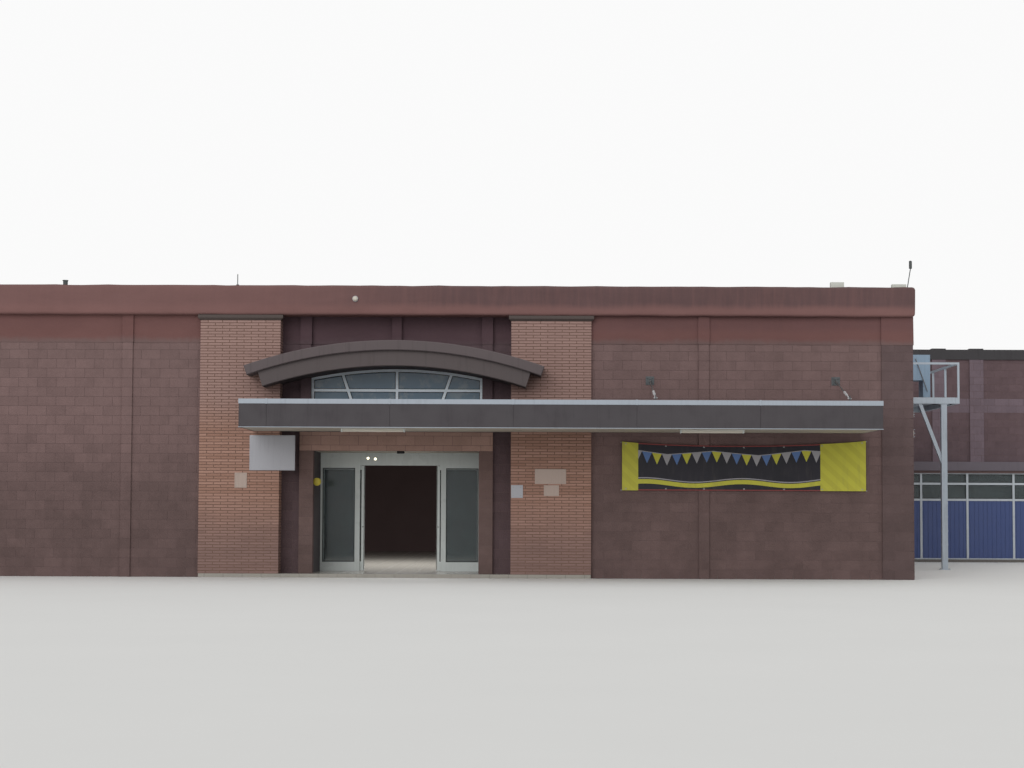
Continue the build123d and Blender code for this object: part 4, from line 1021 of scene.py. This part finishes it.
def dressTieRods():
    rods, ends, plates, bolts, feet = [], [], [], [], []
    work = rodWork
    thick, half, nut, out = work["plate"], work["foot"], work["nut"], work["footBoltOut"]
    pin = Vector((work["pinReach"], 0, 0))
    for low, high in islands("canopy_tie_rods"):
        middle, reach = (low.x + high.x) / 2, (high.x - low.x) / 2
        head = Vector((middle, wallFront - thick, high.z - reach))
        foot = Vector((middle, low.y + half, low.z + thick + half))
        run = (head - foot).normalized()
        grip = foot + run * work["barrelFrom"]
        far, fork = grip + run * work["barrelLength"], run * work["forkLength"]
        upper, lower = head - run * work["forkFromHead"], foot + run * work["forkFromFoot"]
        # painted light and shade along each rod: the upper run takes the darker rod metal, the lower end and
        # turnbuckle the light white
        rods += [bar("rod", grip, head, work["rod"], 16), bar("fork", upper - fork, upper, work["fork"])]
        ends += [bar("rod", foot, grip, work["rod"], 16), bar("barrel", grip, far, work["barrel"]),
                 bar("nut", grip - run * nut, grip, nut, 6), bar("nut", far, far + run * nut, nut, 6),
                 bar("fork", lower, lower + fork, work["fork"]), bar("pin", foot - pin, foot + pin, work["pin"])]
        plates += [boxAt("wallPlate", head + Vector((0, thick / 2, 0)), (2 * reach, thick, 2 * reach), 0.003),
                   boxAt("wallLug", head - Vector((0, work["lug"] / 2, 0)), (thick, work["lug"], work["lug"]), 0.003),
                   boxAt("footPlate", (middle, foot.y, low.z + thick / 2), (2 * half, 2 * half, thick), 0.003),
                   boxAt("footLug", (middle, foot.y, foot.z - thick / 2), (thick, 2 * half, thick + 2 * half), 0.003)]
        edge = reach - work["boltIn"]
        bolts += [(middle + x * edge, wallFront - thick, head.z + z * edge) for x in (-1, 1) for z in (-1, 1)]
        feet += [(foot.x + x * out, foot.y + y * out, low.z + thick) for x in (-1, 1) for y in (-1, 1)]
    for name, parts, finish in (("tieRods", rods, "rodMetal"), ("turnbuckles", ends, "rodWhite"),
                                ("tieRodPlates", plates, "plateSteel")):
        complete(join(name, parts), finish, replaces=("canopy_tie_rods",))
    fasten("rodPlateBolts", bolts, work["bolt"], (90, 0, 0), "plateSteel")
    fasten("rodFootBolts", feet, work["footBolt"], finish="plateSteel")


dressCanopy()
dressTieRods()
print("canopy dressed")


# Arched window, entrance screen and sliding leaves

doorWork = {"gasket": 0.014, "gasketDepth": 0.004, "lampPlaces": ((-0.72, 2.56), (-0.56, 2.545)), "lampRadius": 0.03,
            "lockHeight": 1.05, "lockIn": 0.035, "lockRadius": 0.017, "lockThick": 0.008, "sealGap": 0.004,
            "sealWidth": 0.012, "sealFoot": 0.02, "sealHead": 0.14, "headShadowStrip": 0.04}


def dressDoors():
    addGasket("archWindowSeals", "arch_window_glass")
    addGasket("screenSeals", "entrance_glass")
    addGasket("shopfrontSeals", "shopfront_glass")
    for side, name in ((-1, "left"), (1, "right")):
        body = name + "_leaf"
        addGasket(name + "LeafSeals", "door_glass_" + name, body)
        low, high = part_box("door_leaf_" + name)
        edge, gap = high.x if side < 0 else low.x, doorWork["sealGap"]
        sealAndShadowStrip = softBox(name + "EdgeSeal", (edge + side * gap, low.y - 0.002, low.z + doorWork["sealFoot"]),
                       (edge + side * (gap + doorWork["sealWidth"]), low.y + 0.01, high.z - doorWork["sealHead"]),
                       0.001)
        complete(sealAndShadowStrip, "rubberSeal", body)
        lock = startCylinder(name + "Lock", (edge + side * doorWork["lockIn"], low.y - 0.001, doorWork["lockHeight"]),
                             doorWork["lockRadius"], doorWork["lockThick"], (90, 0, 0))
        complete(softenEnds(recess(lock, 0.006, 0.003), 1, 0.001), "boltMetal", body)
    front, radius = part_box("entrance_frame")[0].y - 0.012, doorWork["lampRadius"]
    lamps, rims = [], []
    for x, z in doorWork["lampPlaces"]:
        rim = recess(startCylinder("rim", (x, front, z), radius * 1.3, 0.024, (90, 0, 0)), radius * 0.25, 0.01)
        rims.append(bevel(rim, 0.002, 2, lambda e: abs(runOf(e).y) < 0.001 and middleOf(e).y < front - 0.008))
        lens = startCylinder("lens", (x, front, z), radius * 0.95, 0.014, (90, 0, 0))
        lamps.append(bevel(lens, 0.004, 3, lambda e: abs(runOf(e).y) < 0.001 and middleOf(e).y < front - 0.003))
    complete(join("headerLampRims", rims), "whiteFrame")
    complete(join("headerLamps", lamps), "warmLamp")
    # painted shadow: a dark strip along the top of the header stands for the shadow line under the porch ceiling
    low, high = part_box("entrance_header")
    sealAndShadowStrip = softBox("headShadowStrip", (low.x, low.y - 0.006, high.z - doorWork["headShadowStrip"]),
                   (high.x, low.y + 0.004, high.z - 0.002), 0.002)
    complete(sealAndShadowStrip, "rubberSeal")
    sensor = softBox("doorSensor", *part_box("door_sensor"), 0.012, 3)
    recess(sensor, 0.008, 0.004, lambda face: face.normal.y < -0.9 and face.calc_area() > 0.002)
    complete(sensor, "rubberSeal", replaces=("door_sensor",))


dressDoors()
print("doors and windows dressed")


# Platform and air duct on the side wall

platformWork = {"barPitch": 0.045, "barWidth": 0.006, "barHeight": 0.012, "edge": 0.08, "crossPitch": 0.15,
                "crossIn": 0.1, "crossShare": 0.7, "basePlate": 0.24, "basePlateThick": 0.014, "legSize": 0.14,
                "capThick": 0.016, "capOut": 0.01, "boltRadius": 0.012, "boltIn": 0.03, "bandFrom": 0.25,
                "bandHeight": 0.05, "bandPitch": 0.34, "bandProud": 0.004, "bands": 7}


def dressPlatform():
    work = platformWork
    low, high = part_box("platform_deck")
    edge, wide, tall = work["edge"], work["barWidth"], work["barHeight"]
    left, near, first, top = low.x + edge, low.y + edge, low.y + work["crossIn"], high.z
    grid = softBox("deckGrating", (left, near, top), (left + wide, high.y - edge, top + tall), 0.001)
    repeat(grid, int((high.x - edge - left) / work["barPitch"]), (work["barPitch"], 0, 0))
    cross = softBox("cross", (left, first, top), (high.x - edge, first + wide, top + tall * work["crossShare"]), 0.001)
    repeat(cross, int((high.y - work["crossIn"] - first) / work["crossPitch"]), (0, work["crossPitch"], 0))
    complete(join("deckGrating", [grid, cross]), "boltMetal")
    plates, bolts = [], []
    base, wide, wrap = work["basePlate"], work["legSize"] / 2 + work["capOut"], work["legSize"] + 2 * work["bandProud"]
    reach = base / 2 - work["boltIn"]
    for start, end in islands("platform_legs"):
        x, y = end.x - base / 2, (start.y + end.y) / 2
        plates.append(softBox("cap", (x - base / 2, y - wide, end.z - work["capThick"]),
                              (x + base / 2, y + wide, end.z + 0.001), 0.003))
        bolts += [(x + right * reach, y + back * reach, work["basePlateThick"]) for right in (-1, 1)
                  for back in (-1, 1)]
        for number in range(work["bands"]):
            middle = (x, y, work["bandFrom"] + number * work["bandPitch"] + work["bandHeight"] / 2)
            plates.append(boxAt("band", middle, (wrap, wrap, work["bandHeight"]), 0.002))
    complete(join("legPlates", plates), "steelPaint")
    fasten("legBolts", bolts, work["boltRadius"])


ductWork = {"body": 0.65, "flange": 0.03, "seamPitch": 0.7, "seams": (0.5, 1.5, 2.4), "mouth": 0.5,
            "slatPitch": 0.05, "slat": 0.006, "slatFrom": 0.01, "slatUp": 0.008, "slatHeight": 0.028, "cleat": 0.025,
            "cleatProud": 0.006, "brace": 0.012, "braceTop": (1.78, 0.13), "braceFoot": (0.08, 0.23)}


def dressDuct():      # folded cleats along the seams, slats in the mouth and a brace
    low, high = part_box("air_duct")
    work, lip, proud = ductWork, ductWork["flange"], ductWork["cleatProud"]
    front, back, top = low.y + lip, high.y - lip, high.z - lip
    bottom = top - work["body"]
    cleats = [softBox("cleat", (low.x + work["seamPitch"] * seam, front - proud, bottom - proud),
                      (low.x + work["seamPitch"] * seam + work["cleat"], back + proud, top + proud), 0.003)
              for seam in work["seams"]]
    complete(join("ductCleats", cleats), "ductSheet")
    start = low.x + work["seamPitch"] - work["mouth"] - lip + work["slatFrom"]
    foot = bottom + work["slatUp"]
    slat = softBox("ductSlats", (start, front + lip, foot),
                   (start + work["slat"], back - lip, foot + work["slatHeight"]), 0.001)
    repeat(slat, int(work["mouth"] / work["slatPitch"]), (work["slatPitch"], 0, 0))
    complete(slat, "rubberSeal")
    radius, (topIn, topDown), (footIn, footUp) = work["brace"], work["braceTop"], work["braceFoot"]
    brace = bar("ductBrace", (low.x + topIn, low.y - radius, high.z - topDown),
                (high.x - lip - footIn, low.y - radius, low.z + footUp), radius, 10)
    complete(bevel(brace, 0.003), "rodMetal")


dressPlatform()
dressDuct()
print("wing, platform and duct dressed")


# Banner: a vinyl sheet held at its eyelets, its top edge sagging between the corners

bannerWork = {"columns": 128, "rows": 26, "front": 0.014, "sag": 0.1, "rightHigher": 0.03, "fold": 0.006,
              "folds": 6, "seed": 9, "bulge": 0.012, "eyeletPitch": 0.856, "eyeletEnd": 0.12, "eyeletRadius": 0.016,
              "eyeletRing": 0.0072, "eyeletIn": 0.035, "tieLength": 0.1, "tieRise": 0.03, "tieRadius": 0.003,
              "pegRadius": 0.01, "pegLength": 0.03}


def hangBanner():
    work = bannerWork
    low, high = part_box("banner")
    width, height = high.x - low.x, high.z - low.z
    sheet = addPrimitive("bannerSheet", bpy.ops.mesh.primitive_grid_add, x_subdivisions=work["columns"],
                         y_subdivisions=work["rows"], size=1, calc_uvs=True)
    draw = random.Random(work["seed"])
    waves = [(draw.uniform(2.0, 9.0), draw.uniform(-3.0, 3.0), draw.uniform(0, 6.3))
             for number in range(work["folds"])]
    for vert in sheet.data.vertices:
        u, v = vert.co.x + 0.5, vert.co.y + 0.5
        slack = 4 * u * (1 - u)
        top = -work["sag"] * slack ** 0.8 + work["rightHigher"] * (u - 1)
        fold = sum(math.sin(a * u * 3 + b * v + c) for a, b, c in waves) / len(waves)
        swell = math.sin(math.pi * v) * math.sin(math.pi * u)
        front = low.y - work["front"] - fold * work["fold"] * (0.4 + swell)
        vert.co = (low.x + u * width, front - swell * work["bulge"], low.z + v * (height + top))
    sheet.data.update()
    complete(sheet, "bannerVinyl", replaces=("banner",), smooth=60)
    faceOut(sheet)
    if sheet.data.polygons[0].normal.y > 0:
        edit(sheet, "FACE", bpy.ops.mesh.flip_normals)
    hangers, ties = [], []
    count, end = round(width / work["eyeletPitch"]) + 1, work["eyeletEnd"]      # end: in shares of the pitch
    for number in range(count):
        x = low.x + (number + end) / (count - 1 + 2 * end) * width
        for z, inward in ((low.z, 1), (high.z, -1)):
            nearest = min(sheet.data.vertices, key=lambda vert: abs(vert.co.x - x) + abs(vert.co.z - z) * 2)
            place = nearest.co + Vector((0, -0.003, inward * work["eyeletIn"]))
            ring = startCylinder("eyelet", place, work["eyeletRadius"], 0.004, (90, 0, 0), 20)
            hangers.append(openUp(ring, work["eyeletRing"], lambda face: abs(face.normal.y) > 0.9))
            if number in (0, count - 1):
                side = -1 if number == 0 else 1
                far, level = place.x + side * work["tieLength"], place.z - inward * work["tieRise"]
                ties.append(bar("tie", place, (far, wallFront - 0.004, level), work["tieRadius"], 8))
                peg = startCylinder("peg", (far, wallFront - 0.012, level), work["pegRadius"], work["pegLength"],
                                    (90, 0, 0), 12)
                ties.append(softenEnds(peg, 1, 0.002))
    complete(join("bannerEyelets", hangers), "boltMetal")
    complete(join("bannerTies", ties), "signWhite")


hangBanner()
print("banner hung")


# Bare notice plates, lamps, the camera dome and the small rods

plates = {      # low x, high x, low z, high z, what carries the plate, and its finish
    "noticeBoard": (-3.07, -2.11, 2.25, 2.99, "brick_pier_left", "signWhite"),
    "noticePlateLeft": (-3.38, -3.12, 1.88, 2.2, "brick_pier_left", "signPink"),
    "noticePlateSmall": (2.45, 2.70, 1.69, 1.96, "brick_pier_right", "signWhite"),
    "noticePlateWide": (2.95, 3.61, 1.985, 2.30, "brick_pier_right", "signPink"),
    "noticePlateLow": (3.14, 3.46, 1.73, 1.96, "brick_pier_right", "signPink"),
}
plateWork = {"thick": 0.012, "frame": 0.018, "recess": 0.003, "screwIn": 0.03, "screw": 0.005}
fittings = {"domeBase": 0.03, "domeShare": 0.87, "rodRadius": 0.009, "stubRadius": 0.05, "capHeight": 0.02,
            "lampBody": 0.045, "lampRim": 0.012, "lampBulge": 0.09, "guards": (-0.28, 0, 0.28), "guardSpan": 0.44,
            "guardOut": 0.03, "guardBulge": 0.022, "discX": -1.69, "discBack": 0.16, "discZ": 2.02,
            "discRadius": 0.085, "discThick": 0.03, "discRim": 0.02, "discRaise": 0.008, "armRadius": 0.012}


def fixPlates():
    work, screws = plateWork, []
    inset = work["screwIn"] + work["frame"]
    for name, (x0, x1, z0, z1, node, finish) in plates.items():
        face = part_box(node)[0].y - brickwork["proud"]
        plate = softBox(name, (x0, face - work["thick"], z0), (x1, face + 0.001, z1), 0.002, 2)
        recess(plate, work["frame"], work["recess"], lambda part: part.normal.y < -0.9 and part.calc_area() > 0.01)
        complete(plate, finish)
        screws += [(x, face - work["thick"] + work["recess"], z) for x in (x0 + inset, x1 - inset)
                   for z in (z0 + inset, z1 - inset) if x > -pierEdge and (x < -pierInner or x > 0)]
    fasten("plateScrews", screws, work["screw"], (90, 0, 0))


def makeDome(name, middle, radius, turn, stretch, depth):      # half a ball
    dome = addPrimitive(name, bpy.ops.mesh.primitive_uv_sphere_add, segments=28, ring_count=16, radius=radius)
    cut(dome, (0, 0, 0), (0, 0, -1))
    dome.scale = (*stretch, depth)
    dome.rotation_euler = radians(turn)
    dome.location = middle
    return settle(dome)


def fixCamera():
    low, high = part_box("dome_camera")
    middle, radius, deep = (low + high) / 2, (high.x - low.x) / 2, fittings["domeBase"]
    base = startCylinder("cameraBase", (middle.x, high.y - deep / 2, middle.z), radius, deep, (90, 0, 0), 32)
    complete(softenEnds(base, 1, 0.006, 3), "signWhite", replaces=("dome_camera",))
    # the dome takes the lamps' opal cover, whose faint glow is painted light on a camera dome
    dome = makeDome("cameraDome", (middle.x, high.y - deep + 0.002, middle.z), radius * fittings["domeShare"],
                    (90, 0, 0), (1, 1), 0.8)
    complete(dome, "opalCover", replaces=("dome_camera",))


def fixRods():
    rods, thick = [], fittings["capHeight"]
    for low, high in islands("parapet_rods"):
        (x, y, z), width, height = (low + high) / 2, high.x - low.x, high.z - low.z
        slim = height > 2 * width
        radius = fittings["rodRadius"] if slim else fittings["stubRadius"]
        collar = low.z + thick / 2 if slim else high.z - thick / 2
        rods.append(startCylinder("rod", (x, y, z - 0.01), radius, height + 0.02))
        rods.append(startCylinder("collar", (x, y, collar), width / 2, thick))
    rods = [softenEnds(piece, 2, 0.003) for piece in rods]
    complete(join("parapetRods", rods), "mastPaint", replaces=("parapet_rods",))


def fixLamps():
    lamps, covers, deep = [], [], fittings["lampBody"]
    for low, high in islands("wall_lamps"):
        middle, tall, wide = (low + high) / 2, high.z - low.z, high.y - low.y
        body = startCylinder("lampBody", (0, 0, 0), 0.5, deep, sides=32)
        body.scale = (tall, wide, 1)
        body.rotation_euler = radians((0, 90, 0))
        body.location = (low.x + deep / 2, middle.y, middle.z)
        lamps.append(softenEnds(settle(body), 0, 0.008, 2))
        covers.append(makeDome("lampCover", (low.x + deep - 0.002, middle.y, middle.z),
                               0.5 - fittings["lampRim"] / wide, (0, 90, 0), (tall, wide), fittings["lampBulge"]))
        for shift in fittings["guards"]:
            reach = fittings["guardOut"] + fittings["guardBulge"] * (1 - abs(shift))
            side, z = wide * fittings["guardSpan"], middle.z + shift * tall
            lamps.append(softBox("guard", (low.x + deep - 0.004, middle.y - side, z - 0.004),
                                 (low.x + deep + reach, middle.y + side, z + 0.004), 0.002))
    complete(join("sideLampBodies", lamps), "steelPaint", replaces=("wall_lamps",))
    complete(join("sideLampCovers", covers), "opalCover", replaces=("wall_lamps",))


def fixAlarm():      # a yellow disc on an arm from the doorway's jamb
    x, y, z = fittings["discX"], surroundLow.y + fittings["discBack"], fittings["discZ"]
    disc = startCylinder("alarmDisc", (x, y, z), fittings["discRadius"], fittings["discThick"], (90, 0, 0), 32)
    recess(disc, fittings["discRim"], -fittings["discRaise"])
    complete(softenEnds(disc, 1, 0.004, 2), "signYellow")
    arm = bar("alarmArm", (-doorHalf - 0.01, y + 0.02, z), (x, y + 0.02, z), fittings["armRadius"])
    complete(bevel(arm, 0.002), "rodMetal")


fixPlates()
fixCamera()
fixRods()
fixLamps()
fixAlarm()
print("plates, lamps and rods fixed")


# Stage, light and camera

studio = {"floorSize": 400, "worldLight": 0.72, "backdrop": 0.96, "sunStrength": 1.0, "sunAngle": 40,
          "sunTurn": (68, 0, -18), "hallLight": 900, "hallLightSize": 6.0, "hallLightBack": 5, "hallLightDrop": 0.3}
cameraPlace = {"spot": (2.68, -46.4, 1.5), "tiltUp": 3.35, "turnLeft": 0.27, "roll": -0.23,
               "focalPixels": 2100, "imageWidth": 1024, "sensorWidth": 36}


def buildStage():
    floor = addPrimitive("studioFloor", bpy.ops.mesh.primitive_plane_add, size=studio["floorSize"])
    pale = Finish("paleFloor", roughness=0.9, gloss=0.1)
    pale.give("Base Color", pale.shade(tint(226, 226, 224), 0.98 + pale.noise(3.0) * 0.04))
    floor.data.materials.append(pale.material)
    world = bpy.data.worlds.new("studio")
    bpy.context.scene.world = world
    sky = Tree(world)
    seen, mirrored, through = [sky.node("ShaderNodeLightPath", {}, {}, "Is " + kind + " Ray")
                               for kind in ("Camera", "Glossy", "Transmission")]
    direct = sky.math("MAXIMUM", seen, sky.math("MAXIMUM", mirrored * 0.6, through))
    backdrop = sky.nodeTree.nodes["Background"]
    backdrop.inputs["Color"].default_value = (1, 1, 1, 1)
    sky.feed(backdrop.inputs["Strength"], studio["worldLight"] + direct * (studio["backdrop"] - studio["worldLight"]))
    bpy.ops.object.light_add(type="SUN", rotation=radians(studio["sunTurn"]))
    sun = bpy.context.object.data
    sun.energy, sun.angle = studio["sunStrength"], math.radians(studio["sunAngle"])
    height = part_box("hall_roof")[0].z - studio["hallLightDrop"]
    bpy.ops.object.light_add(type="AREA", location=(0, studio["hallLightBack"], height))      # the hall's own light
    hall = bpy.context.object.data
    hall.shape, hall.size, hall.energy = "SQUARE", studio["hallLightSize"], studio["hallLight"]


def buildCamera():
    place = cameraPlace
    bpy.ops.object.camera_add(location=place["spot"],
                              rotation=radians((90 + place["tiltUp"], place["roll"], place["turnLeft"])))
    camera = bpy.context.object
    camera.data.sensor_width = place["sensorWidth"]
    camera.data.lens = place["focalPixels"] / place["imageWidth"] * place["sensorWidth"]
    camera.data.clip_end = studio["floorSize"]
    bpy.context.scene.camera = camera


buildStage()
buildCamera()
bpy.context.scene.view_settings.view_transform = "Standard"
print("stage, light and camera placed")
